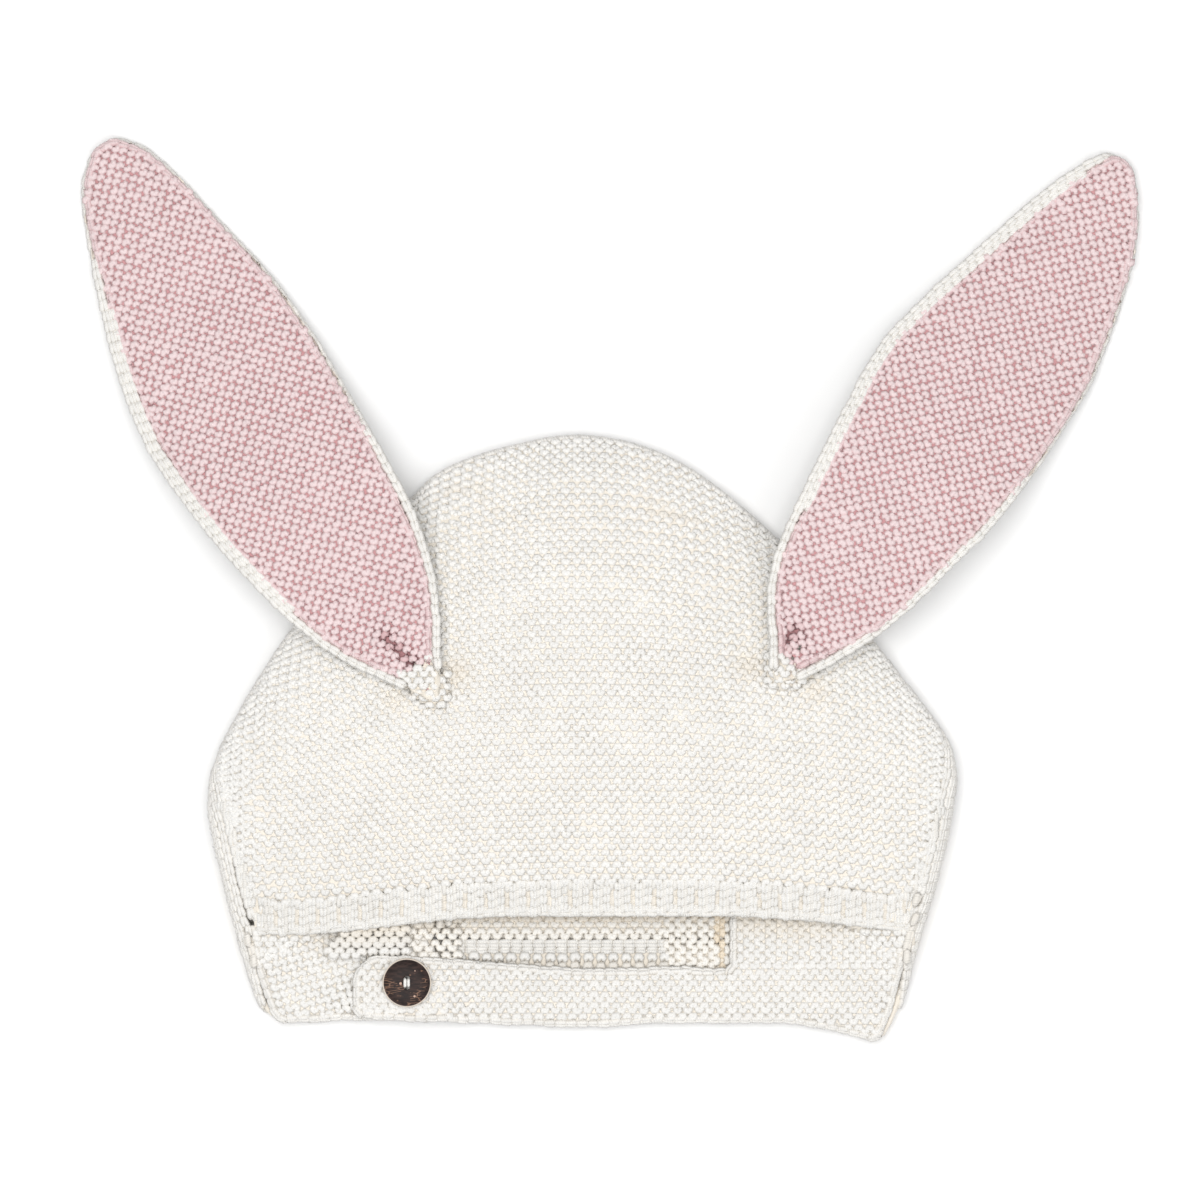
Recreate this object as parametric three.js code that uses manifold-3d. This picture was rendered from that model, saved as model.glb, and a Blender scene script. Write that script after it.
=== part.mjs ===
// A baby's knitted hat with rabbit ears, lying flat as it is stored: a domed front panel with a ribbed
// brim, a back panel on the surface below it, two side flaps, a chin strap and its button, and two ears.
// Millimetres, +X to the right, +Y towards the crown and the ear tips, +Z up from the surface.
// The origin is on the surface, under the middle of the hollow that the head goes into.
import * as THREE from "three";
import Module from "manifold-3d";
import { mergeVertices } from "three/addons/utils/BufferGeometryUtils.js";

const wasm = await Module();
wasm.setup();

// Knitted fabric
const knitWall = 3; // one layer of garter stitch
const layerGap = 0.3; // clearance between pieces that touch

// Body of the hat, as it lies
const bodyWidth = 200; // across the shoulder corners
const bodyLength = 157.6; // from the hem to the top of the crown
const hemY = -77.2; // hem at the chin strap
const hollowY = -7; // the middle of the head hollow, where all sections meet
const crownHeight = 31; // top of the front panel over the surface
const brimHeight = 15.5; // top of the brim over the surface, at its middle
const sideRoll = 6.5; // radius of the rolled edge at the sides
const crownRoll = 5; // and round the crown
const rollTurn = 58; // degrees past level at which the roll gives way to the front panel's slope
const slopeEase = 3; // how quickly the front panel levels out, as an exponent

// Brim and nape
const brimY = -48.3; // lower edge of the brim, at its middle
const brimSag = 5.6; // how much lower its ends lie
const brimBandHeight = 8;
const napeY = -67; // lower edge of the back panel, at its middle, behind the strap
const napeBandHeight = 12.4;
const napeBandWidth = 150;

// Side flaps and chin strap
const leftFlapEdgeX = -39.5; // free edge of the left flap
const rightFlapEdgeX = 39; // free edge of the right flap
const flapSettle = 19; // run in which a flap comes down from the side seam to the layer below
const flapTuck = 12; // how far a flap reaches up under the brim
const strapWidth = 14.4; // where it leaves the right flap
const strapEndWidth = 18.2; // at the button
const strapEndX = -61.2; // rounded end, over the left flap
const strapEndRadius = 8;
const strapClimb = 9; // run in which the strap climbs onto the left flap
const hemWave = 5; // how far the hem wanders up and down

// Button and thread
const buttonX = -46.9;
const buttonY = -66;
const buttonDiameter = 13;
const buttonThickness = 2.4;
const buttonDish = 0.7; // depth of the hollow in its face
const buttonRim = 1.3; // width of the raised rim
const buttonHole = 2;
const buttonHoleSpacing = 3.4;
const threadDiameter = 1.2;
const buttonholeLength = 7;
const buttonholeWidth = 3.2;

// Ears: a white back whose edge is turned up round a pink face
const earWidth = 54.4;
const earLayer = 3; // each of the two layers
const earEdgeLip = 0.5; // how far the turned-up edge stands over the face's own edge
const earFaceCrown = 1.2; // how much higher the face is in its middle
const earPinch = 2.6; // depth of the crease at the base
const earPinchWidth = 2.6;
const leftEar = { x: -41, y: 13, length: 168.6, turn: 120.8, name: "left" };
const rightEar = { x: 53.6, y: 17.6, length: 163, turn: 56.4, name: "right" };
const earDrapeHeight = 27; // scale of the drape from the front panel down to the surface

const halfWidth = bodyWidth / 2;
const flatLayer = knitWall + layerGap; // height at which a second layer lies on the back panel
const hemRoll = flatLayer; // the rolled edge has closed up at the hem

// Silhouette of the body: height as a share of its length from the hem, half widths as shares of half
// the body's width. The two rows below the hem only close the curve, and are cut away.
const SILHOUETTE = [
  { up: -0.1, left: 0.4, right: 0.42 },
  { up: -0.08, left: 0.72, right: 0.74 },
  { up: 0, left: 0.845, right: 0.838 },
  { up: 0.118, left: 0.916, right: 0.892 },
  { up: 0.27, left: 0.977, right: 0.961 },
  { up: 0.36, left: 1.005, right: 0.99 },
  { up: 0.4, left: 1.006, right: 1 },
  { up: 0.448, left: 0.987, right: 1.001 },
  { up: 0.498, left: 0.948, right: 0.961 },
  { up: 0.6, left: 0.855, right: 0.839 },
  { up: 0.701, left: 0.742, right: 0.711 },
  { up: 0.802, left: 0.591, right: 0.554 },
  { up: 0.88, left: 0.478, right: 0.42 },
  { up: 0.929, left: 0.405, right: 0.32 },
  { up: 0.962, left: 0.295, right: 0.235 },
  { up: 0.99, left: 0.135, right: 0.105 },
];

// How far the side seam lies in from the silhouette, in shares of the side roll's radius: on the left the
// back panel comes over the edge and shows as a strip.
const SEAM_INSET = [
  { up: -0.1, left: 0.3, right: 0.3 },
  { up: 0.08, left: 0.4, right: 0.36 },
  { up: 0.2, left: 0.72, right: 0.42 },
  { up: 0.33, left: 0.72, right: 0.42 },
  { up: 0.385, left: 0.36, right: 0.42 },
  { up: 0.44, left: 0, right: 0.16 },
  { up: 0.5, left: 0, right: 0 },
  { up: 1, left: 0, right: 0 },
];

// Line of the hem: place across in shares of half the body's width, drop in shares of the hem's wave.
const HEM = [
  { across: -1, drop: -3 },
  { across: -0.88, drop: -0.9 },
  { across: -0.835, drop: -0.12 },
  { across: -0.77, drop: 0 },
  { across: -0.6, drop: -0.2 },
  { across: -0.35, drop: -0.05 },
  { across: 0, drop: 0.2 },
  { across: 0.29, drop: -0.05 },
  { across: 0.53, drop: 0 },
  { across: 0.69, drop: 0.5 },
  { across: 0.79, drop: 0.95 },
  { across: 0.835, drop: 0.8 },
  { across: 0.88, drop: -0.6 },
  { across: 1, drop: -3 },
];

// Lower edge of the brim: place across in shares of half the body's width, drop in shares of its sag.
const BRIM = [
  { across: -1, drop: 1 },
  { across: -0.88, drop: 0.98 },
  { across: -0.72, drop: 0.9 },
  { across: -0.48, drop: 0.45 },
  { across: -0.3, drop: 0.12 },
  { across: 0, drop: 0 },
  { across: 0.33, drop: 0 },
  { across: 0.6, drop: 0.28 },
  { across: 0.84, drop: 0.75 },
  { across: 1, drop: 1 },
];

// Dents and folds of the front panel: place and half lengths in shares of half the body's width, turn in
// degrees, depth in shares of the wall. A negative depth is a swelling.
const FOLDS = [
  { name: "valley between the ears", x: 0.02, y: 0.185, turn: 0, long: 0.34, wide: 0.07, depth: 0.7 },
  { name: "left shoulder crease", x: -0.8, y: -0.04, turn: 16, long: 0.2, wide: 0.07, depth: 0.45 },
  { name: "right shoulder crease", x: 0.82, y: 0.02, turn: -28, long: 0.18, wide: 0.07, depth: 0.45 },
  { name: "left cheek dip", x: -0.58, y: -0.3, turn: -50, long: 0.2, wide: 0.1, depth: 0.5 },
  { name: "ridge below the left ear", x: -0.6, y: 0, turn: 28, long: 0.18, wide: 0.08, depth: -0.35 },
  { name: "swelling over the left shoulder", x: -0.72, y: 0.15, turn: 50, long: 0.12, wide: 0.09, depth: -0.4 },
  { name: "swelling over the right shoulder", x: 0.72, y: 0.16, turn: -50, long: 0.12, wide: 0.09, depth: -0.4 },
];

// Ear outlines: place along the ear's axis in shares of its length, then the reach of its white edge and
// of its pink face to the left and right of the axis, looking from the tip to the base, in shares of
// half the ear's width.
const LEFT_EAR = [
  { along: -0.03, leftEdge: 0.06, rightEdge: 0.1, leftFace: 0.02, rightFace: 0.03 },
  { along: 0.02, leftEdge: 0.24, rightEdge: 0.24, leftFace: 0.15, rightFace: 0.13 },
  { along: 0.08, leftEdge: 0.52, rightEdge: 0.45, leftFace: 0.43, rightFace: 0.37 },
  { along: 0.16, leftEdge: 0.76, rightEdge: 0.66, leftFace: 0.68, rightFace: 0.58 },
  { along: 0.28, leftEdge: 0.98, rightEdge: 0.79, leftFace: 0.87, rightFace: 0.7 },
  { along: 0.4, leftEdge: 1.12, rightEdge: 0.81, leftFace: 1.02, rightFace: 0.75 },
  { along: 0.54, leftEdge: 1.2, rightEdge: 0.81, leftFace: 1.07, rightFace: 0.76 },
  { along: 0.67, leftEdge: 1.09, rightEdge: 0.76, leftFace: 0.97, rightFace: 0.71 },
  { along: 0.79, leftEdge: 0.87, rightEdge: 0.6, leftFace: 0.78, rightFace: 0.57 },
  { along: 0.91, leftEdge: 0.6, rightEdge: 0.44, leftFace: 0.56, rightFace: 0.41 },
  { along: 0.97, leftEdge: 0.42, rightEdge: 0.31, leftFace: 0.37, rightFace: 0.27 },
  { along: 1.003, leftEdge: 0.17, rightEdge: 0.13, leftFace: 0.13, rightFace: 0.09 },
];
const RIGHT_EAR = [
  { along: -0.03, leftEdge: 0.08, rightEdge: 0.08, leftFace: 0.02, rightFace: 0.03 },
  { along: 0.02, leftEdge: 0.27, rightEdge: 0.27, leftFace: 0.18, rightFace: 0.16 },
  { along: 0.08, leftEdge: 0.56, rightEdge: 0.46, leftFace: 0.47, rightFace: 0.38 },
  { along: 0.16, leftEdge: 0.74, rightEdge: 0.65, leftFace: 0.66, rightFace: 0.59 },
  { along: 0.28, leftEdge: 0.85, rightEdge: 0.81, leftFace: 0.75, rightFace: 0.74 },
  { along: 0.4, leftEdge: 0.94, rightEdge: 0.95, leftFace: 0.84, rightFace: 0.88 },
  { along: 0.52, leftEdge: 1, rightEdge: 1, leftFace: 0.9, rightFace: 0.95 },
  { along: 0.63, leftEdge: 0.89, rightEdge: 1, leftFace: 0.79, rightFace: 0.96 },
  { along: 0.75, leftEdge: 0.71, rightEdge: 0.88, leftFace: 0.57, rightFace: 0.83 },
  { along: 0.87, leftEdge: 0.52, rightEdge: 0.67, leftFace: 0.4, rightFace: 0.64 },
  { along: 0.95, leftEdge: 0.35, rightEdge: 0.43, leftFace: 0.25, rightFace: 0.4 },
  { along: 1.003, leftEdge: 0.16, rightEdge: 0.14, leftFace: 0.09, rightFace: 0.11 },
];

// Height at which an ear's underside hangs along its length, in shares of the drape's scale. Near its
// base the front panel is higher than that, and carries it.
const EAR_DRAPE = [
  { along: -0.1, height: 0.4 },
  { along: 0.08, height: 0.62 },
  { along: 0.22, height: 0.74 },
  { along: 0.36, height: 0.6 },
  { along: 0.52, height: 0.28 },
  { along: 0.66, height: 0.08 },
  { along: 0.77, height: 0 },
  { along: 1.1, height: 0 },
];

// How finely things are cut
const STATIONS = 72;
const SLOPE_STEPS = 10;
const ROLL_STEPS = 6;
const FLOOR_STEPS = 2;
const LINE_STEPS = 48;
const EAR_ROWS = 21;
const EAR_REACH = 1.4; // how far round each point of an ear the panel below is felt for
const TALL = 100;

const clamp = THREE.MathUtils.clamp;
const lerp = THREE.MathUtils.lerp;
const radians = THREE.MathUtils.degToRad;
const ease = (t) => THREE.MathUtils.smoothstep(t, 0, 1);

// A column of a table at a place along it, through a smooth curve that doesn't overshoot.
function fromTable(rows, key, column, at) {
  const last = rows.length - 1;
  if (at <= rows[0][key]) return rows[0][column];
  if (at >= rows[last][key]) return rows[last][column];
  let i = 0;
  while (rows[i + 1][key] < at) i++;
  const slope = (k) => (rows[k + 1][column] - rows[k][column]) / (rows[k + 1][key] - rows[k][key]);
  const tangent = (k) => {
    if (k === 0) return slope(0);
    if (k === last) return slope(last - 1);
    const before = slope(k - 1);
    const after = slope(k);
    return before * after <= 0 ? 0 : (2 * before * after) / (before + after);
  };
  const run = rows[i + 1][key] - rows[i][key];
  const t = (at - rows[i][key]) / run;
  const [t2, t3] = [t * t, t * t * t];
  return (
    (2 * t3 - 3 * t2 + 1) * rows[i][column] +
    (t3 - 2 * t2 + t) * run * tangent(i) +
    (3 * t2 - 2 * t3) * rows[i + 1][column] +
    (t3 - t2) * run * tangent(i + 1)
  );
}

const upOf = (y) => (y - hemY) / bodyLength;
const hemLine = (x) => hemY - hemWave * fromTable(HEM, "across", "drop", x / halfWidth);
const brimLine = (x) => brimY - brimSag * fromTable(BRIM, "across", "drop", x / halfWidth);
const silhouetteX = (y, side) => {
  const half = halfWidth * fromTable(SILHOUETTE, "up", side < 0 ? "left" : "right", upOf(y));
  return side * half;
};
const seamInset = (y, side) =>
  sideRoll * fromTable(SEAM_INSET, "up", side < 0 ? "left" : "right", upOf(y));

// Depth of the folds at a place on the front panel.
function foldDepth(x, y) {
  let depth = 0;
  for (const fold of FOLDS) {
    const [dx, dy] = [x / halfWidth - fold.x, y / halfWidth - fold.y];
    const [c, s] = [Math.cos(radians(fold.turn)), Math.sin(radians(fold.turn))];
    const along = (dx * c + dy * s) / fold.long;
    const across = (dy * c - dx * s) / fold.wide;
    depth += fold.depth * knitWall * Math.exp(-0.5 * (along ** 2 + across ** 2));
  }
  return depth;
}

// Height that the front panel reaches away from its edges: full over the crown, lower towards the brim.
function plateau(x, y) {
  const down = ease(clamp((0.12 * bodyLength - y) / (0.12 * bodyLength - brimY), 0, 1.25) / 1.25);
  const sides = 1 - 0.12 * (x / halfWidth) ** 2;
  return lerp(crownHeight, brimHeight, down * 1.12) * sides - foldDepth(x, y);
}

// The sections of the body: one for each station round the silhouette, all meeting over the hollow's
// middle. Along a section, -1 to 0 is the floor, 0 to 1 the rolled edge and 1 to 2 the front panel.
function bodySections() {
  const left = SILHOUETTE.map((r) => new THREE.Vector3(-r.left * halfWidth, hemY + r.up * bodyLength, 0));
  const right = SILHOUETTE.map((r) => new THREE.Vector3(r.right * halfWidth, hemY + r.up * bodyLength, 0));
  const top = new THREE.Vector3(-0.02 * halfWidth, hemY + bodyLength, 0);
  const bottom = new THREE.Vector3(0, hemY - 0.13 * bodyLength, 0);
  const curve = new THREE.CatmullRomCurve3([bottom, ...right, top, ...left.reverse()], true, "centripetal");
  const rims = curve.getSpacedPoints(STATIONS).slice(0, STATIONS);
  return rims.map((rim, i) => {
    const before = rims[(i + STATIONS - 1) % STATIONS];
    const after = rims[(i + 1) % STATIONS];
    const inward = new THREE.Vector3(before.y - after.y, after.x - before.x, 0).normalize();
    const toMiddle = new THREE.Vector3(0, hollowY, 0).sub(rim);
    const reach = toMiddle.length();
    const slant = Math.max(0.5, inward.dot(toMiddle) / reach);
    const up = upOf(rim.y);
    const roll = lerp(
      lerp(hemRoll, sideRoll, ease(clamp(up / 0.2, 0, 1))),
      crownRoll,
      ease(clamp((up - 0.5) / 0.4, 0, 1)),
    );
    const at = (q, depth) => {
      const end = radians(rollTurn);
      const turn = q <= 1 ? lerp(-Math.PI / 2, end, clamp(q, 0, 1)) : end;
      const radius = roll - depth;
      const inset = (roll - radius * Math.cos(turn)) / slant;
      const height = roll + radius * Math.sin(turn);
      if (q < 0) return new THREE.Vector3(rim.x, rim.y, depth).lerp(
        new THREE.Vector3(0, hollowY, depth), lerp(roll / slant, reach, -q) / reach);
      const share = q <= 1 ? inset / reach : lerp(inset, reach, q - 1) / reach;
      const point = new THREE.Vector3(rim.x, rim.y, 0).lerp(new THREE.Vector3(0, hollowY, 0), share);
      const climb = q <= 1 ? 0 : 1 - (2 - q) ** slopeEase;
      point.z = lerp(height, plateau(point.x, point.y) - depth, climb);
      return point;
    };
    const side = rim.x < 0 ? -1 : 1;
    const inset = seamInset(rim.y, side);
    const rollInset = roll * (1 - Math.cos(radians(rollTurn)));
    const seam =
      inset <= rollInset
        ? (Math.acos(clamp(1 - inset / roll, -1, 1)) + Math.PI / 2) / (radians(rollTurn) + Math.PI / 2)
        : 1 + (inset - rollInset) / (reach * slant - rollInset);
    const pace = at(seam, 0).distanceTo(at(seam + 0.01, 0)) / 0.01;
    return { at, seam, halfGap: layerGap / 2 / pace };
  });
}

// A closed mesh from rings of equal length between two end points.
function capped(rings, firstPole, lastPole) {
  const n = rings[0].length;
  const points = [firstPole, ...rings.flat(), lastPole];
  const index = [];
  const id = (ring, k) => 1 + ring * n + (k % n);
  for (let k = 0; k < n; k++) {
    index.push(0, id(0, k), id(0, k + 1));
    for (let r = 0; r < rings.length - 1; r++) {
      index.push(id(r, k), id(r + 1, k), id(r + 1, k + 1), id(r, k), id(r + 1, k + 1), id(r, k + 1));
    }
    index.push(points.length - 1, id(rings.length - 1, k + 1), id(rings.length - 1, k));
  }
  return meshOf(points, index);
}

// A closed slab over a grid of places, each with its low and its high face. Slip is how far the low
// face lies across from the high one, where the wall leans.
function slab(grid) {
  const [rows, columns] = [grid.length, grid[0].length];
  const points = [];
  for (const face of ["low", "high"]) {
    for (const row of grid) {
      for (const g of row) {
        const slip = face === "low" ? (g.slip ?? 0) : 0;
        points.push(new THREE.Vector3(g.x + slip, g.y, g[face]));
      }
    }
  }
  const index = [];
  const id = (face, r, c) => face * rows * columns + r * columns + c;
  const quad = (a, b, c, d) => index.push(a, b, c, a, c, d);
  for (let r = 0; r < rows - 1; r++) {
    for (let c = 0; c < columns - 1; c++) {
      quad(id(1, r, c), id(1, r, c + 1), id(1, r + 1, c + 1), id(1, r + 1, c));
      quad(id(0, r, c), id(0, r + 1, c), id(0, r + 1, c + 1), id(0, r, c + 1));
    }
    quad(id(0, r, 0), id(1, r, 0), id(1, r + 1, 0), id(0, r + 1, 0));
    const c = columns - 1;
    quad(id(0, r, c), id(0, r + 1, c), id(1, r + 1, c), id(1, r, c));
  }
  for (let c = 0; c < columns - 1; c++) {
    quad(id(0, 0, c), id(0, 0, c + 1), id(1, 0, c + 1), id(1, 0, c));
    const r = rows - 1;
    quad(id(0, r, c), id(1, r, c), id(1, r, c + 1), id(0, r, c + 1));
  }
  return meshOf(points, index);
}

// A geometry from points and triangles, turned so that its faces point out.
function meshOf(points, index) {
  let volume = 0;
  for (let i = 0; i < index.length; i += 3) {
    const [a, b, c] = [points[index[i]], points[index[i + 1]], points[index[i + 2]]];
    volume += a.dot(b.clone().cross(c));
  }
  if (volume < 0) for (let i = 0; i < index.length; i += 3) [index[i], index[i + 1]] = [index[i + 1], index[i]];
  const geometry = new THREE.BufferGeometry().setFromPoints(points);
  geometry.setIndex(index);
  return geometry;
}

// Between three.js geometry and manifold-3d solids.
function solid(geometry) {
  const bare = geometry.clone();
  bare.deleteAttribute("normal");
  bare.deleteAttribute("uv");
  const merged = mergeVertices(bare, 1e-4);
  return new wasm.Manifold(
    new wasm.Mesh({
      numProp: 3,
      vertProperties: new Float32Array(merged.attributes.position.array),
      triVerts: new Uint32Array(merged.index.array),
    }),
  );
}
function geometryOf(body) {
  const { vertProperties, triVerts, numProp } = body.getMesh();
  const flat = new Float32Array((vertProperties.length / numProp) * 3);
  for (let i = 0; i < flat.length / 3; i++) {
    for (let k = 0; k < 3; k++) flat[3 * i + k] = vertProperties[numProp * i + k];
  }
  const geometry = new THREE.BufferGeometry();
  geometry.setAttribute("position", new THREE.BufferAttribute(flat, 3));
  geometry.setIndex(new THREE.BufferAttribute(new Uint32Array(triVerts), 1));
  return geometry;
}

// All that lies above a line drawn across the hat, as a tall block.
function above(line, reach = bodyWidth) {
  const shape = new THREE.Shape();
  shape.moveTo(-reach, 2 * reach);
  for (let i = 0; i <= LINE_STEPS; i++) {
    const x = lerp(-1.05 * halfWidth, 1.05 * halfWidth, i / LINE_STEPS);
    shape.lineTo(i === 0 ? -reach : i === LINE_STEPS ? reach : x, line(x));
  }
  shape.lineTo(reach, 2 * reach);
  const block = new THREE.ExtrudeGeometry(shape, { depth: 2 * TALL, bevelEnabled: false });
  return solid(block.translate(0, 0, -TALL));
}

function upright(x, y, width, length) {
  return solid(new THREE.BoxGeometry(width, length, 2 * TALL).translate(x, y, 0));
}

// A body with room left round another one, in the directions given as shares of the clearance.
function clearOf(body, other, ways) {
  let rest = body;
  for (const way of ways) rest = rest.subtract(other.translate(way.map((w) => w * layerGap)));
  return rest.decompose().sort((a, b) => b.volume() - a.volume())[0];
}

const sections = bodySections();

// Front panel and brim: the upper part of every section, cut off at the brim's line.
function frontShell() {
  const rings = [];
  const steps = Array.from({ length: SLOPE_STEPS + 1 }, (_, i) => (i / SLOPE_STEPS) ** 1.5);
  const ring = (t, depth) =>
    sections.map((s) => {
      const from = s.seam + s.halfGap;
      return s.at(lerp(from, 2, t), depth);
    });
  for (const t of [...steps].reverse().slice(1)) rings.push(ring(t, 0));
  for (const t of steps.slice(0, -1)) rings.push(ring(t, knitWall));
  const top = sections[0].at(2, 0);
  return solid(capped(rings, top, sections[0].at(2, knitWall)));
}

// Back panel: the floor and rolled edge of every section.
function backShell() {
  const rings = [];
  const ring = (q, depth) =>
    sections.map((s) => s.at(q <= 0 ? q : q * (s.seam - s.halfGap), depth));
  const steps = [];
  for (let i = 1; i <= FLOOR_STEPS; i++) steps.push(-1 + i / FLOOR_STEPS);
  for (let i = 1; i <= ROLL_STEPS; i++) steps.push(i / ROLL_STEPS);
  for (const q of steps) rings.push(ring(q, 0));
  for (const q of [...steps].reverse()) rings.push(ring(q, knitWall));
  return solid(capped(rings, sections[0].at(-1, 0), sections[0].at(-1, knitWall)));
}

const front = frontShell().intersect(above(brimLine));
const bandTop = (x) => brimLine(x) + brimBandHeight;
const frontPanel = front.intersect(above((x) => bandTop(x) + layerGap / 2));
const brimBand = front.subtract(above((x) => bandTop(x) - layerGap / 2));

// The back panel's lower edge rises from the hem at the flaps to the nape behind the strap.
const napeLine = (x) => {
  const rise = ease(clamp((0.72 * halfWidth - Math.abs(x)) / (0.25 * halfWidth), 0, 1));
  return lerp(hemLine(x), napeY, rise);
};
const back = backShell().intersect(above(napeLine));
const napeTop = (x) => napeLine(x) + napeBandHeight;
const napeRoom = (room) =>
  upright(0, hemY, napeBandWidth + 2 * room, bodyLength / 2).subtract(above((x) => napeTop(x) + room));
const backPanel = back.subtract(napeRoom(layerGap));
const napeBand = back.intersect(napeRoom(0));

// Side seam at a height: its place across, and the heights of the wall's two faces there.
function seamAt(y, side) {
  const up = upOf(y);
  const roll = lerp(hemRoll, sideRoll, ease(clamp(up / 0.2, 0, 1)));
  const inset = seamInset(y, side);
  const turn = Math.acos(clamp(1 - inset / roll, -1, 1));
  return {
    x: silhouetteX(y, side) - side * (inset + layerGap / Math.sin(turn)),
    high: roll * (1 + Math.sin(turn)),
    turn,
  };
}

// A side flap: from the side seam, where it is as high as the rolled edge, in to its free edge.
function flap(side, edgeX) {
  const [rows, columns] = [10, 9];
  const grid = [];
  for (let r = 0; r < rows; r++) {
    const row = [];
    for (let c = 0; c < columns; c++) {
      const v = r / (rows - 1);
      const u = (c / (columns - 1)) ** 1.2;
      let [x, y] = [lerp(side * 0.86 * halfWidth, edgeX, u), 0];
      let seam = null;
      for (let again = 0; again < 3; again++) {
        const low = hemLine(x);
        const tuck = flapTuck * ease(clamp(Math.abs(x - (seam ? seam.x : x)) / flapSettle - 0.7, 0, 1));
        y = lerp(low, brimLine(x) - layerGap + tuck, v);
        seam = seamAt(y, side);
        x = lerp(seam.x, edgeX, u);
      }
      const settled = ease(clamp(Math.abs(x - seam.x) / flapSettle, 0, 1));
      const high = lerp(seam.high, flatLayer + knitWall, settled);
      const slip = -side * (1 - settled) * knitWall * Math.cos(seam.turn);
      row.push({ x, y, slip, low: high - knitWall * lerp(Math.sin(seam.turn), 1, settled), high });
    }
    grid.push(row);
  }
  return solid(slab(grid));
}

// The chin strap, from the right flap across the mouth and up onto the left flap, with its buttonhole.
const strapLevel = (x) =>
  lerp(flatLayer, 2 * flatLayer, ease(clamp((leftFlapEdgeX + strapClimb - x) / strapClimb, 0, 1)));
function strap() {
  const [rows, columns] = [6, 26];
  const grid = [];
  const endX = rightFlapEdgeX + strapEndRadius;
  for (let r = 0; r < rows; r++) {
    const row = [];
    for (let c = 0; c < columns; c++) {
      const x = lerp(strapEndX, endX, (c / (columns - 1)) ** 1.35);
      const past = clamp((strapEndX + strapEndRadius - x) / strapEndRadius, 0, 0.94);
      const full = Math.sqrt(1 - past ** 2);
      const width = lerp(strapEndWidth, strapWidth, (x - strapEndX) / (endX - strapEndX));
      const low = hemLine(x) + (1 - full) * 0.3 * strapEndRadius;
      const high = hemLine(x) + width - (1 - full) * strapEndRadius;
      const level = strapLevel(x);
      row.push({ x, y: lerp(low, high, r / (rows - 1)), low: level, high: level + knitWall });
    }
    grid.push(row);
  }
  return solid(slab(grid));
}
const buttonhole = upright(buttonX, buttonY, buttonholeWidth, buttonholeLength);
function seatedFlap(side, edgeX) {
  const besideBack = clearOf(flap(side, edgeX), back, [[0, 0, 0], [-side, 0, 0], [0, 0, 1]]);
  return clearOf(besideBack, front, [[0, 0, 0], [0, 0, -1], [0, -1, 0]]);
}
const leftFlap = seatedFlap(-1, leftFlapEdgeX);
const rightFlapStrap = seatedFlap(1, rightFlapEdgeX).add(strap()).subtract(buttonhole);

// Height of the front panel's outer face at a place, or nothing off it.
const frontGeometry = geometryOf(frontPanel);
const frontMesh = new THREE.Mesh(frontGeometry, new THREE.MeshStandardMaterial({ side: THREE.DoubleSide }));
const ray = new THREE.Raycaster();
function frontHeight(x, y) {
  ray.set(new THREE.Vector3(x, y, TALL), new THREE.Vector3(0, 0, -1));
  const hits = ray.intersectObject(frontMesh);
  return hits.length ? hits[0].point.z : 0;
}

// The greater of two heights, rounded where they cross.
const eased = (a, b, round) => 0.5 * (a + b + Math.hypot(a - b, round));

// An ear's underside: it lies on the front panel, then drapes down to the surface.
function earFloor(ear, along, x, y) {
  const drape = earDrapeHeight * fromTable(EAR_DRAPE, "along", "height", along);
  let under = 0;
  for (const dx of [-EAR_REACH, 0, EAR_REACH]) {
    for (const dy of [-EAR_REACH, 0, EAR_REACH]) under = Math.max(under, frontHeight(x + dx, y + dy));
  }
  return under > 0 ? eased(drape, under + layerGap / 2, 2) : drape;
}

// Points of an ear: columns run across it, each a share from its low edge to its high edge.
function earGrid(ear, table, columns, place) {
  const turn = radians(ear.turn);
  const half = earWidth / 2;
  const grid = [];
  for (let r = 0; r < EAR_ROWS; r++) {
    const pace = r / (EAR_ROWS - 1);
    const along = lerp(table[0].along, table[table.length - 1].along, 0.6 * pace + 0.4 * ease(pace));
    const width = (column) => half * fromTable(table, "along", column, along);
    const row = columns.map((column) => {
      const spot = place(column, width, along);
      const x = ear.x + along * ear.length * Math.cos(turn) - spot.across * Math.sin(turn);
      const y = ear.y + along * ear.length * Math.sin(turn) + spot.across * Math.cos(turn);
      const floor = earFloor(ear, along, x, y);
      return { x, y, low: floor + spot.low, high: floor + spot.high };
    });
    grid.push(row);
  }
  return grid;
}

// The white back: a tray whose edge is turned up round the face.
function earBack(ear, table) {
  const columns = [-3, -2, -1, -0.99, -0.5, 0, 0.5, 0.99, 1, 2, 3];
  const edgeTop = 2 * earLayer + layerGap + earEdgeLip;
  return slab(
    earGrid(ear, table, columns, (column, width) => {
      const past = column < 0 ? -1 : 1;
      const name = past < 0 ? "right" : "left";
      const [edge, face] = [width(name + "Edge"), width(name + "Face") + layerGap];
      const size = Math.abs(column);
      if (size === 3) return { across: past * edge, low: 0.45 * edgeTop, high: 0.6 * edgeTop };
      if (size === 2) return { across: past * lerp(edge, face, 0.45), low: 0, high: edgeTop };
      if (size === 1) return { across: past * face, low: 0, high: edgeTop - earEdgeLip };
      return { across: past * Math.min(size * face, face - 0.05), low: 0, high: earLayer };
    }),
  );
}

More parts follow.
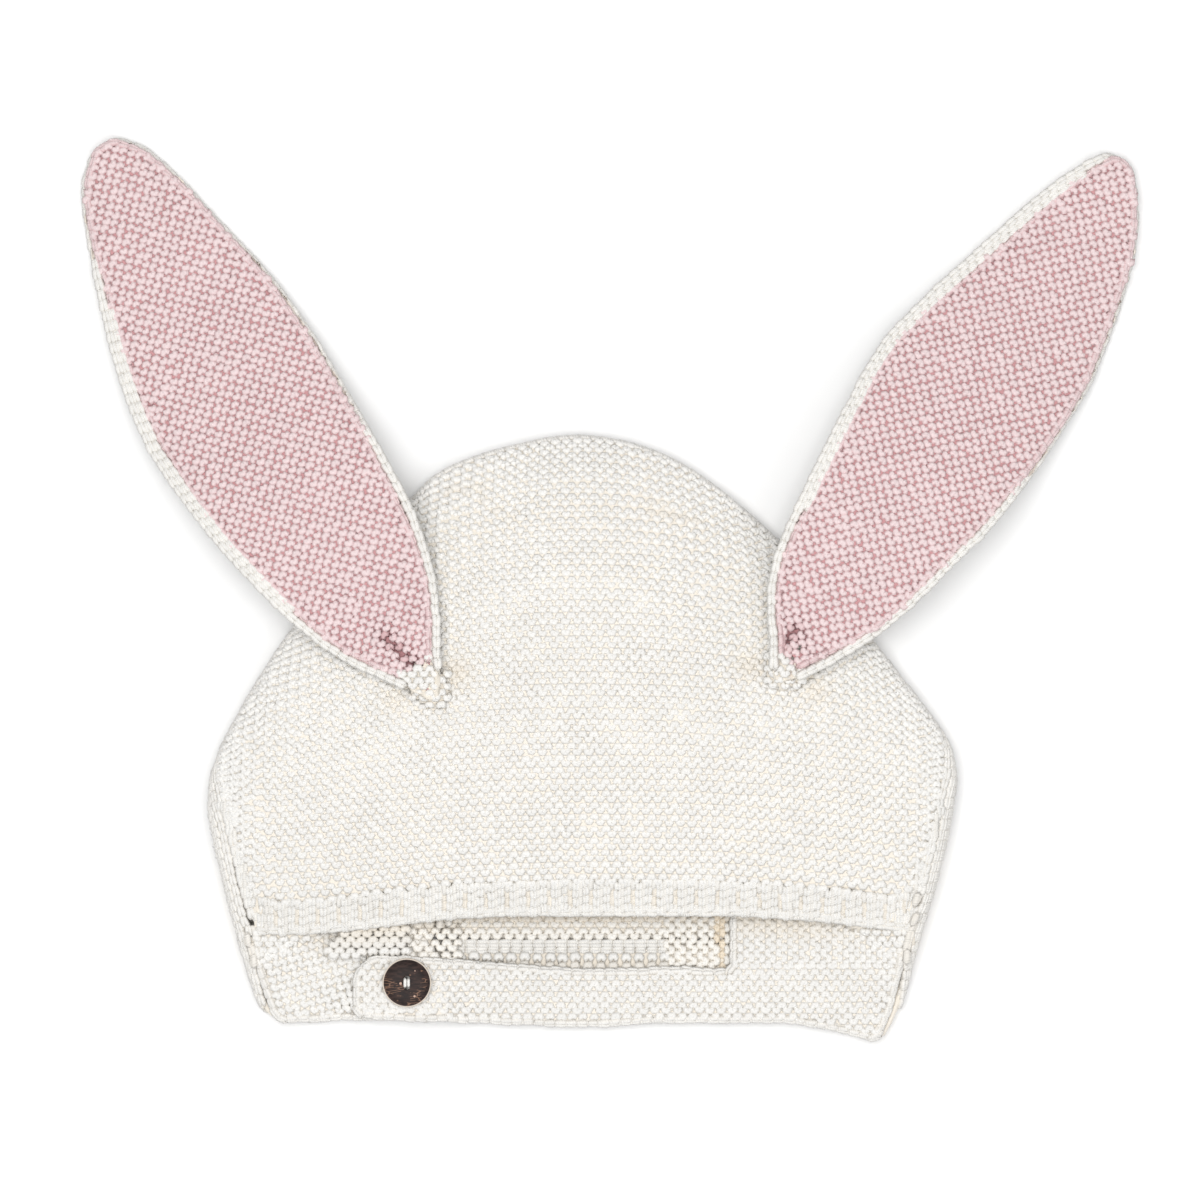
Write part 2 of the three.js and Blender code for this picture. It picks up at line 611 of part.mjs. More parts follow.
// The pink face, crowned, with the crease of the pinched base.
function earFace(ear, table) {
  const columns = [-1, -0.8, -0.5, -0.25, -0.1, 0, 0.1, 0.25, 0.5, 0.8, 1];
  return slab(
    earGrid(ear, table, columns, (column, width, along) => {
      const past = column < 0 ? -1 : 1;
      const across = column * width(past < 0 ? "rightFace" : "leftFace");
      const crown = earFaceCrown * (1 - column ** 2) * Math.sin(Math.PI * clamp(along, 0, 1)) ** 0.5;
      const pinch = earPinch * (1 - ease(clamp(along / 0.13, 0, 1))) * Math.exp(-((across / earPinchWidth) ** 2));
      const low = earLayer + layerGap;
      return { across, low, high: low + earLayer + crown - Math.min(pinch, earLayer + crown - 0.6) };
    }),
  );
}

// Button: a turned disc with a dished face and two holes, on the strap's end.
const buttonLow = strapLevel(buttonX) + knitWall + layerGap;
function button() {
  const radius = buttonDiameter / 2;
  const profile = [
    [0, 0],
    [radius - 0.7, 0],
    [radius, 0.8],
    [radius, buttonThickness - 0.5],
    [radius - 0.35, buttonThickness],
    [radius - buttonRim, buttonThickness - 0.1],
    [radius - buttonRim - 0.9, buttonThickness - buttonDish],
    [0, buttonThickness - buttonDish],
  ].map(([x, y]) => new THREE.Vector2(x, y));
  let body = solid(new THREE.LatheGeometry(profile, 32).rotateX(Math.PI / 2));
  for (const way of [-1, 1]) {
    const drill = new THREE.CylinderGeometry(buttonHole / 2, buttonHole / 2, TALL, 14).rotateX(Math.PI / 2);
    body = body.subtract(solid(drill.translate(0, (way * buttonHoleSpacing) / 2, 0)));
  }
  return geometryOf(body);
}

// Thread: one staple through both holes, down through the buttonhole to the left flap.
function buttonThread() {
  const radius = threadDiameter / 2;
  const foot = flatLayer + knitWall + layerGap - buttonLow;
  const crest = buttonThickness - buttonDish + layerGap + radius;
  const bend = new THREE.CatmullRomCurve3(
    [
      [-1, foot],
      [-1, 0.4 * crest],
      [-0.8, 0.92 * crest],
      [0, crest + 0.25],
      [0.8, 0.92 * crest],
      [1, 0.4 * crest],
      [1, foot],
    ].map(([across, z]) => new THREE.Vector3(0, (across * buttonHoleSpacing) / 2, z)),
  );
  const round = new THREE.Shape().absarc(0, 0, radius, 0, 2 * Math.PI);
  const strand = new THREE.ExtrudeGeometry(round, { steps: 22, curveSegments: 4, extrudePath: bend });
  return geometryOf(solid(strand));
}

const COLOURS = {
  cream: { color: 0xf1ede2, roughness: 0.92, metalness: 0 },
  rib: { color: 0xf4f1e8, roughness: 0.92, metalness: 0 },
  pink: { color: 0xdcb6ba, roughness: 0.92, metalness: 0 },
  coconut: { color: 0x3a2a27, roughness: 0.45, metalness: 0 },
  thread: { color: 0xe9e4da, roughness: 0.8, metalness: 0 },
};

const hat = new THREE.Group();
function piece(name, geometry, look, at = [0, 0, 0]) {
  const mesh = new THREE.Mesh(geometry, new THREE.MeshStandardMaterial(COLOURS[look]));
  mesh.name = name;
  mesh.position.set(...at);
  hat.add(mesh);
}

piece("front_panel", frontGeometry, "cream");
piece("brim_band", geometryOf(brimBand), "rib");
piece("back_panel", geometryOf(backPanel), "cream");
piece("nape_band", geometryOf(napeBand), "rib");
piece("left_flap", geometryOf(leftFlap), "cream");
piece("right_flap_strap", geometryOf(rightFlapStrap), "cream");
piece("ear_left_back", earBack(leftEar, LEFT_EAR), "cream");
piece("ear_left_face", earFace(leftEar, LEFT_EAR), "pink");
piece("ear_right_back", earBack(rightEar, RIGHT_EAR), "cream");
piece("ear_right_face", earFace(rightEar, RIGHT_EAR), "pink");
piece("button", button(), "coconut", [buttonX, buttonY, buttonLow]);
piece("button_thread", buttonThread(), "thread", [buttonX, buttonY, buttonLow]);

export default hat;
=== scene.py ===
import math

import bmesh
import bpy
import numpy as np
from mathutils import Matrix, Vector
from mathutils.bvhtree import BVHTree


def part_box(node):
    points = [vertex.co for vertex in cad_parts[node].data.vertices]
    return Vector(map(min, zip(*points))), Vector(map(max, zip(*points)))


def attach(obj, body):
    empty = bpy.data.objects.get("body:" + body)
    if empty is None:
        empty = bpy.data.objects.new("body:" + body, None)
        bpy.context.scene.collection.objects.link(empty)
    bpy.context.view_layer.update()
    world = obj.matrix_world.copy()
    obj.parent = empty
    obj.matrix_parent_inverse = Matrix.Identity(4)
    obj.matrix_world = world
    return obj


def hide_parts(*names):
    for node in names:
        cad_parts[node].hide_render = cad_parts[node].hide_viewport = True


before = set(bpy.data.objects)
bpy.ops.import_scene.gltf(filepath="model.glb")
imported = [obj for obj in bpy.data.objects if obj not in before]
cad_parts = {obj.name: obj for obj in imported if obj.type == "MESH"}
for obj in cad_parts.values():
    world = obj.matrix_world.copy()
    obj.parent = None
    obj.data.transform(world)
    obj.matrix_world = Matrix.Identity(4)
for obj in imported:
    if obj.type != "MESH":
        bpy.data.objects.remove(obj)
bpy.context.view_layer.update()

MM = 0.001

# Gauge of the knitting, in metres
WALE = 3.05 * MM  # across one stitch
RIDGE = 3.17 * MM  # from one garter ridge to the next
YARN = 0.74 * MM  # radius of the yarn in a stitch
CREVICE = 2.6 * YARN  # how far below a crest the colour is wholly the painted crevice shade
SUNK = 0.8 * MM  # how far the middle of a stitch's crest lies under the CAD surface
FABRIC_CORE = 0.72 * MM  # how far the plain cloth under the stitches lies in from the CAD surface

# The photograph's frame: 1200 pixels of 0.2663 mm
FRAME_WIDTH = 1200 * 0.2663 * MM
FRAME_MIDDLE = (4.53 * MM, 35.95 * MM)
FRAME_HEIGHT = 12 * MM  # the height at which that scale holds
LENS, SENSOR = 300.0, 36.0

draw = np.random.default_rng(11)  # all that is left to chance, the same each run


# Materials
def link(tree, out, socket):
    tree.links.new(out, socket)


def math_node(tree, operation, a, b=None):
    """A Math node; a and b are numbers or sockets."""
    node = tree.nodes.new("ShaderNodeMath")
    node.operation = operation
    for k, value in enumerate((a, b)):
        if isinstance(value, (int, float)):
            node.inputs[k].default_value = value
        elif value is not None:
            link(tree, value, node.inputs[k])
    return node.outputs[0]


def mix_colour(tree, factor, a, b, blend="MIX"):
    node = tree.nodes.new("ShaderNodeMix")
    node.data_type, node.blend_type = "RGBA", blend
    for key, value in ((0, factor), (6, a), (7, b)):
        if isinstance(value, (int, float, tuple)):
            node.inputs[key].default_value = value
        else:
            link(tree, value, node.inputs[key])
    return node.outputs[2]


def attribute(tree, name):
    node = tree.nodes.new("ShaderNodeAttribute")
    node.attribute_name = name
    return node.outputs["Fac"]


def noise(tree, place, scale, detail=2):
    node = tree.nodes.new("ShaderNodeTexNoise")
    node.inputs["Scale"].default_value = scale
    node.inputs["Detail"].default_value = detail
    link(tree, place, node.inputs["Vector"])
    return node.outputs[0]


def fine_relief(tree, height, strength, distance):
    """The normals of a relief too fine for the mesh."""
    node = tree.nodes.new("ShaderNodeBump")
    node.inputs["Strength"].default_value = strength
    node.inputs["Distance"].default_value = distance
    link(tree, height, node.inputs["Height"])
    return node.outputs[0]


def cotton_group():
    """Cotton yarn: painted shade, warmer and darker, in the crevices and lighter on the crests, with a
    two-ply twist that also paints faint shade along the plies, and soft fuzz.
    """
    tree = bpy.data.node_groups.new("Cotton yarn", "ShaderNodeTree")
    face = tree.interface
    face.new_socket("Yarn", in_out="INPUT", socket_type="NodeSocketColor")
    face.new_socket("Crevice shade", in_out="INPUT", socket_type="NodeSocketColor")
    face.new_socket("Color", in_out="OUTPUT", socket_type="NodeSocketColor")
    face.new_socket("Roughness", in_out="OUTPUT", socket_type="NodeSocketFloat")
    face.new_socket("Normal", in_out="OUTPUT", socket_type="NodeSocketVector")
    given = tree.nodes.new("NodeGroupInput")
    result = tree.nodes.new("NodeGroupOutput")
    place = tree.nodes.new("ShaderNodeTexCoord").outputs["Object"]
    strand = tree.nodes.new("ShaderNodeUVMap")
    strand.uv_map = "strand"
    split = tree.nodes.new("ShaderNodeSeparateXYZ")
    link(tree, strand.outputs["UV"], split.inputs[0])

    twist = math_node(tree, "ADD", math_node(tree, "MULTIPLY", split.outputs[0], 3.0), split.outputs[1])
    twist = math_node(tree, "SINE", math_node(tree, "MULTIPLY", twist, 4 * math.pi))
    fuzz = noise(tree, place, 2600, 3)
    cloud = noise(tree, place, 38)

    crest = attribute(tree, "crest")
    tone = attribute(tree, "tone")
    # the crest attribute mixes the yarn's colour with the painted crevice shade
    lit = mix_colour(tree, crest, given.outputs["Crevice shade"], given.outputs["Yarn"])
    level = math_node(tree, "ADD", math_node(tree, "MULTIPLY", tone, 0.05), 0.96)
    level = math_node(tree, "MULTIPLY", level,
                      math_node(tree, "ADD", math_node(tree, "MULTIPLY", cloud, 0.06), 0.97))
    # the twist's faint light and dark stripes along the plies are painted shade
    level = math_node(tree, "ADD", level, math_node(tree, "MULTIPLY", twist, 0.018))
    shade = tree.nodes.new("ShaderNodeCombineColor")
    for k in range(3):
        link(tree, level, shade.inputs[k])
    link(tree, mix_colour(tree, 1.0, lit, shade.outputs[0], "MULTIPLY"), result.inputs["Color"])
    rough = math_node(tree, "ADD", math_node(tree, "MULTIPLY", fuzz, 0.12), 0.84)
    link(tree, rough, result.inputs["Roughness"])
    height = math_node(tree, "ADD", math_node(tree, "MULTIPLY", twist, 0.6), fuzz)
    link(tree, fine_relief(tree, height, 0.55, 0.12 * MM), result.inputs["Normal"])
    return tree


def cotton(name, yarn, crevice_shade):
    """A yarn material from the cotton group."""
    material = bpy.data.materials.new(name)
    material.use_nodes = True
    tree = material.node_tree
    shader = tree.nodes["Principled BSDF"]
    group = tree.nodes.new("ShaderNodeGroup")
    group.node_tree = COTTON
    group.inputs["Yarn"].default_value = (*yarn, 1)
    group.inputs["Crevice shade"].default_value = (*crevice_shade, 1)
    link(tree, group.outputs["Color"], shader.inputs["Base Color"])
    link(tree, group.outputs["Roughness"], shader.inputs["Roughness"])
    link(tree, group.outputs["Normal"], shader.inputs["Normal"])
    shader.inputs["Sheen Weight"].default_value = 0.12
    shader.inputs["Sheen Roughness"].default_value = 0.5
    shader.inputs["Specular IOR Level"].default_value = 0.25
    return material


def coconut(middle, radius):
    """Polished coconut shell: near black brown with pale fibres and flecks, and a painted highlight round its
    rim.
    """
    material = bpy.data.materials.new("coconut shell")
    material.use_nodes = True
    tree = material.node_tree
    shader = tree.nodes["Principled BSDF"]
    place = tree.nodes.new("ShaderNodeTexCoord").outputs["Object"]
    stretch = tree.nodes.new("ShaderNodeMapping")
    stretch.inputs["Rotation"].default_value = (0, 0, math.radians(35))
    stretch.inputs["Scale"].default_value = (1, 3.2, 1)
    link(tree, place, stretch.inputs["Vector"])
    fibre = noise(tree, stretch.outputs[0], 420, 4)
    ramp = tree.nodes.new("ShaderNodeValToRGB")
    ramp.color_ramp.elements[0].position = 0.42
    ramp.color_ramp.elements[0].color = (0.016, 0.009, 0.008, 1)
    ramp.color_ramp.elements[1].position = 0.62
    ramp.color_ramp.elements[1].color = (0.045, 0.026, 0.022, 1)
    link(tree, fibre, ramp.inputs[0])
    flecks = tree.nodes.new("ShaderNodeTexVoronoi")
    flecks.feature = "DISTANCE_TO_EDGE"
    flecks.inputs["Scale"].default_value = 330
    link(tree, stretch.outputs[0], flecks.inputs["Vector"])
    thin = math_node(tree, "LESS_THAN", flecks.outputs["Distance"], 0.05)
    thin = math_node(tree, "MULTIPLY", thin, math_node(tree, "GREATER_THAN", noise(tree, place, 300), 0.53))
    colour = mix_colour(tree, math_node(tree, "MULTIPLY", thin, 0.45), ramp.outputs[0], (0.36, 0.2, 0.13, 1))
    specks = tree.nodes.new("ShaderNodeTexVoronoi")
    specks.inputs["Scale"].default_value = 560
    link(tree, place, specks.inputs["Vector"])
    speck = math_node(tree, "LESS_THAN", specks.outputs["Distance"], 0.2)
    pick = tree.nodes.new("ShaderNodeSeparateColor")
    link(tree, specks.outputs["Color"], pick.inputs[0])
    speck = math_node(tree, "MULTIPLY", speck, math_node(tree, "GREATER_THAN", pick.outputs[0], 0.8))
    colour = mix_colour(tree, math_node(tree, "MULTIPLY", speck, 0.85), colour, (0.62, 0.42, 0.33, 1))
    flat = tree.nodes.new("ShaderNodeVectorMath")
    flat.operation = "MULTIPLY"
    flat.inputs[1].default_value = (1, 1, 0)
    link(tree, place, flat.inputs[0])
    away = tree.nodes.new("ShaderNodeVectorMath")
    away.operation = "DISTANCE"
    away.inputs[1].default_value = (*middle, 0)
    link(tree, flat.outputs[0], away.inputs[0])
    # a pale ring round the rim: a painted highlight on the button's edge
    edge = math_node(tree, "GREATER_THAN", away.outputs["Value"], radius - 0.3 * MM)
    colour = mix_colour(tree, edge, colour, (0.62, 0.54, 0.46, 1))
    link(tree, colour, shader.inputs["Base Color"])
    rough = math_node(tree, "ADD", math_node(tree, "MULTIPLY", fibre, 0.25), 0.36)
    link(tree, rough, shader.inputs["Roughness"])
    link(tree, fine_relief(tree, fibre, 0.3, 0.1 * MM), shader.inputs["Normal"])
    shader.inputs["Specular IOR Level"].default_value = 0.15
    return material


COTTON = cotton_group()
# each yarn's second colour is its painted crevice shade
COLOURS = {
    "cream": cotton("cream cotton", (0.852, 0.842, 0.82), (0.83, 0.775, 0.69)),
    "rib": cotton("cream cotton rib", (0.83, 0.822, 0.80), (0.82, 0.765, 0.68)),
    # the inner side's yarn is painted lighter to stand in for light reaching it, and its crevices a warm
    # brown painted shade
    "inner": cotton("cream cotton, inner side, painted light and shade", (0.91, 0.89, 0.85), (0.84, 0.74, 0.60)),
    "pink": cotton("dusty pink cotton", (0.825, 0.69, 0.692), (0.56, 0.30, 0.31)),
    "thread": cotton("white thread", (0.88, 0.87, 0.84), (0.7, 0.66, 0.6)),
}


# Reading the CAD shapes
def tree_of(*nodes):
    """One search tree over the meshes of some CAD nodes."""
    verts, faces = [], []
    for name in nodes:
        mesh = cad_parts[name].data
        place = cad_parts[name].matrix_world
        start = len(verts)
        verts += [place @ v.co for v in mesh.vertices]
        faces += [[start + i for i in p.vertices] for p in mesh.polygons]
    return BVHTree.FromPolygons(verts, faces)


DOWN = Vector((0, 0, -1))
UP = Vector((0, 0, 1))
FAR, BELOW = 0.2, -0.1  # in metres, clear of the hat: where rays start round or above it, and under it


class Relief:
    """A smooth height field over the upper (or lower) side of some CAD nodes."""

    LEVEL = 0.6  # how much a face's normal points up or down where its height counts

    def __init__(self, nodes, step=1.5 * MM, blur=2.0, start=FAR, way=DOWN):
        tree = tree_of(*nodes)
        boxes = [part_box(n) for n in nodes]
        pad = 8 * MM
        self.low = np.array([min(b[0][i] for b in boxes) - pad for i in (0, 1)])
        high = np.array([max(b[1][i] for b in boxes) + pad for i in (0, 1)])
        self.step = step
        shape = np.ceil((high - self.low) / step).astype(int) + 1
        heights = np.full(shape, np.nan)
        for i in range(shape[0]):
            for j in range(shape[1]):
                x, y = self.low + step * np.array([i, j])
                hit, normal = tree.ray_cast(Vector((x, y, start)), way)[:2]
                if hit is not None and abs(normal.z) > self.LEVEL:
                    heights[i, j] = hit.z
        self.heights = self._blur(self._fill(heights), blur)

    @staticmethod
    def _fill(grid):
        """Spreads the known heights outwards into the unknown cells."""
        grid = grid.copy()
        while np.isnan(grid).any():
            padded = np.pad(grid, 1, constant_values=np.nan)
            around = np.stack(
                [
                    padded[1 + a : padded.shape[0] - 1 + a, 1 + b : padded.shape[1] - 1 + b]
                    for a in (-1, 0, 1)
                    for b in (-1, 0, 1)
                ]
            )
            known = ~np.isnan(around)
            count = known.sum(0)
            mean = np.where(known, around, 0).sum(0) / np.maximum(count, 1)
            new = np.isnan(grid) & (count > 0)
            if not new.any():
                break
            grid[new] = mean[new]
        return grid

    @staticmethod
    def _blur(grid, sigma):
        reach = max(1, int(3 * sigma))
        k = np.exp(-0.5 * (np.arange(-reach, reach + 1) / max(sigma, 1e-3)) ** 2)
        k /= k.sum()
        for axis in (0, 1):
            widths = [(reach, reach) if a == axis else (0, 0) for a in (0, 1)]
            wide = np.pad(grid, widths, mode="edge")
            grid = np.apply_along_axis(lambda line: np.convolve(line, k, "valid"), axis, wide)
        return grid

    def at(self, x, y):
        """Heights at arrays of places, between the grid's own."""
        u = np.clip((x - self.low[0]) / self.step, 0, self.heights.shape[0] - 1.001)
        v = np.clip((y - self.low[1]) / self.step, 0, self.heights.shape[1] - 1.001)
        i, j = u.astype(int), v.astype(int)
        a, b = u - i, v - j
        h = self.heights
        return (
            h[i, j] * (1 - a) * (1 - b)
            + h[i + 1, j] * a * (1 - b)
            + h[i, j + 1] * (1 - a) * b
            + h[i + 1, j + 1] * a * b
        )


# Stitches
def tube(path, radius, sides):
    """A closed strand along a path, drawn to a point at both ends: its vertices and faces, and for each
    vertex how near it is to the crest, 0 to 1, and its place along and round the strand."""
    path = np.array(path, float)
    n = len(path)
    tangent = np.gradient(path, axis=0)
    tangent /= np.linalg.norm(tangent, axis=1)[:, None]
    up = np.array([0.0, 0, 1])
    side = np.cross(tangent, up)
    side /= np.maximum(np.linalg.norm(side, axis=1), 1e-9)[:, None]
    over = np.cross(side, tangent)
    verts, coords = [path[0]], [(0.0, 0.5)]
    length = np.concatenate([[0], np.cumsum(np.linalg.norm(np.diff(path, axis=0), axis=1))])
    for i in range(1, n - 1):
        for s in range(sides):
            a = 2 * math.pi * (s + 0.25) / sides
            verts.append(path[i] + radius[i] * (math.cos(a) * side[i] + math.sin(a) * over[i]))
            coords.append((length[i] / length[-1], s / sides))
    verts.append(path[-1])
    coords.append((1.0, 0.5))
    faces = []
    for s in range(sides):
        t = (s + 1) % sides
        faces.append((0, 1 + s, 1 + t))
        for i in range(n - 3):
            a, b = 1 + i * sides, 1 + (i + 1) * sides
            faces += [(a + s, b + t, a + t), (a + s, b + s, b + t)]
        last = 1 + (n - 3) * sides
        faces.append((last + t, last + s, len(verts) - 1))
    verts = np.array(verts)
    # how near the crest a vertex lies sets how much of the painted crevice shade it takes
    crest = np.clip(1 + (verts[:, 2] - YARN) / CREVICE, 0, 1)
    return verts, np.array(faces), crest, np.array(coords)


def bump(way, wide, steps=6, sides=5, plump=1.36, dive=0.42, rise=1.75, crest=0.14):
    """One purl bump: a horseshoe of yarn that bows up (way 1) or down (way -1), its legs side by side with
    those of the next row's bumps, so that a row reads as one waving strand. It is plump yarns thick; its
    legs dive into the cloth and rise from their feet to the bow's crest by as many millimetres."""
    t = np.linspace(-1, 1, steps)
    x = 0.275 * wide * np.sin(1.45 * t)
    y = way * MM * (crest - rise * np.abs(t) ** 2.3)
    z = -dive * MM * np.abs(t) ** 3.5
    radius = plump * YARN * (1 - 0.15 * t**2)
    return tube(np.stack([x, y, z], 1), radius, sides)


def joined(*parts):
    """Several strands as one template."""
    starts = np.cumsum([0] + [len(part[0]) for part in parts])
    faces = [part[1] + start for part, start in zip(parts, starts)]
    return (
        np.concatenate([part[0] for part in parts]),
        np.concatenate(faces),
        np.concatenate([part[2] for part in parts]),
        np.concatenate([part[3] for part in parts]),
    )


def vee(wide, tall, plump=0.84, dive=0.32, sides=4):
    """One smooth stitch: two legs that spread from its foot, plump yarns thick and curved down by dive."""
    t = np.linspace(-1, 1, 5)
    legs = []
    for side in (-1, 1):
        x = side * wide * (0.2 + 0.08 * t)
        y = 0.72 * tall * t
        z = -dive * MM * t**2
        legs.append(tube(np.stack([x, y, z], 1), plump * YARN * (1 - 0.15 * t**2), sides))
    return joined(*legs)


class Knit:
    """Gathers strands, each a template set down at many places, and makes them one mesh."""

    def __init__(self, name, colour):
        self.name, self.colour = name, colour
        self.verts, self.faces, self.crest, self.coords, self.tone = [], [], [], [], []
        self.count = 0

    def lay(self, template, places, across, up, out, size=1.0, turn=0.08, stir=0.08 * MM, deep=0.0):
        """Sets the template down at each place: across, up and out are its axes there, and deep says how
        far it lies in shade, 0 to 1."""
        verts, faces, crest, coords = template
        n = len(places)
        if n == 0:
            return
        across, up, out = (np.broadcast_to(np.asarray(a, float), (n, 3)) for a in (across, up, out))
        spin = draw.normal(0, turn, n)[:, None]
        a = np.cos(spin) * across + np.sin(spin) * up
        b = np.cos(spin) * up - np.sin(spin) * across
        scale = (size * draw.normal(1, 0.05, n))[:, None, None]
        local = verts[None] * scale
        placed = (
            places[:, None]
            + local[..., 0:1] * a[:, None]
            + local[..., 1:2] * b[:, None]
            + local[..., 2:3] * out[:, None]
            + draw.normal(0, stir, (n, 1, 3))
        )
        starts = self.count + np.arange(n) * len(verts)
        self.verts.append(placed.reshape(-1, 3))
        self.faces.append((faces[None] + starts[:, None, None]).reshape(-1, 3))
        lit = np.broadcast_to(1 - np.asarray(deep, float), (n,))
        self.crest.append((crest[None] * lit[:, None]).ravel())
        self.coords.append(np.tile(coords, (n, 1)))
        self.tone.append(np.repeat(draw.random(n), len(verts)))
        self.count += n * len(verts)

    def base(self, verts, faces):
        """Adds the plain cloth under the stitches."""
        verts, faces = np.asarray(verts, float), np.asarray(faces, int)
        self.verts.append(verts)
        self.faces.append(faces + self.count)
        # the plain cloth, in cores and pads, takes the painted crevice shade all over
        self.crest.append(np.zeros(len(verts)))
        self.coords.append(np.zeros((len(verts), 2)))
        self.tone.append(np.full(len(verts), 0.5))
        self.count += len(verts)

    def finish(self, *nodes):
        verts = np.concatenate(self.verts)
        faces = np.concatenate(self.faces).astype(np.int32)
        mesh = bpy.data.meshes.new(self.name)
        mesh.vertices.add(len(verts))
        mesh.vertices.foreach_set("co", verts.ravel())
        mesh.loops.add(faces.size)
        mesh.loops.foreach_set("vertex_index", faces.ravel())
        mesh.polygons.add(len(faces))
        mesh.polygons.foreach_set("loop_start", np.arange(0, faces.size, 3, dtype=np.int32))
        mesh.update(calc_edges=True)
        mesh.validate()
        mesh.shade_smooth()
        for key, values in (("crest", self.crest), ("tone", self.tone)):
            layer = mesh.attributes.new(key, "FLOAT", "POINT")
            layer.data.foreach_set("value", np.concatenate(values).astype(np.float32))
        uv = mesh.uv_layers.new(name="strand")
        uv.data.foreach_set("uv", np.concatenate(self.coords)[faces.ravel()].ravel().astype(np.float32))
        piece = bpy.data.objects.new(self.name, mesh)
        bpy.context.scene.collection.objects.link(piece)
        mesh.materials.append(COLOURS[self.colour])
        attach(piece, "root")
        if nodes:
            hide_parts(*nodes)
        print("piece", self.name, len(faces))
        return piece


def unit(vectors):
    return vectors / np.maximum(np.linalg.norm(vectors, axis=-1), 1e-12)[..., None]


def along_z(xy, z):
    return np.concatenate([xy, np.broadcast_to(z, len(xy))[:, None]], 1)


def cloth_under(knit, node, inset=FABRIC_CORE, voxel=1.8 * MM, press=None):
    """Lays the plain core of the cloth: the CAD solid, evened out and drawn in under its stitches. press
    says how far it is pushed down at places x, y."""
    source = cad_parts[node]
    mesh = source.data.copy()
    mesh.transform(source.matrix_world)
    bm = bmesh.new()
    bm.from_mesh(mesh)
    bmesh.ops.remove_doubles(bm, verts=bm.verts, dist=1e-6)
    bm.to_mesh(mesh)
    bm.free()
    core = bpy.data.objects.new("core", mesh)
    bpy.context.scene.collection.objects.link(core)
    even = core.modifiers.new("even", "REMESH")
    even.mode, even.voxel_size = "VOXEL", voxel
    relax = core.modifiers.new("relax", "SMOOTH")
    relax.factor, relax.iterations = 0.5, 5
    shrink = core.modifiers.new("shrink", "DISPLACE")
    shrink.strength, shrink.mid_level = -inset, 0
    core.modifiers.new("cut", "TRIANGULATE")
    done = core.evaluated_get(bpy.context.evaluated_depsgraph_get()).to_mesh()
    verts = np.empty(len(done.vertices) * 3)
    done.vertices.foreach_get("co", verts)
    verts = verts.reshape(-1, 3)
    faces = np.empty(len(done.polygons) * 3, int)
    done.polygons.foreach_get("vertices", faces)
    if press is not None:
        verts[:, 2] -= press(verts[:, 0], verts[:, 1])
    knit.base(verts, faces.reshape(-1, 3))
    bpy.data.objects.remove(core)
    bpy.data.meshes.remove(mesh)


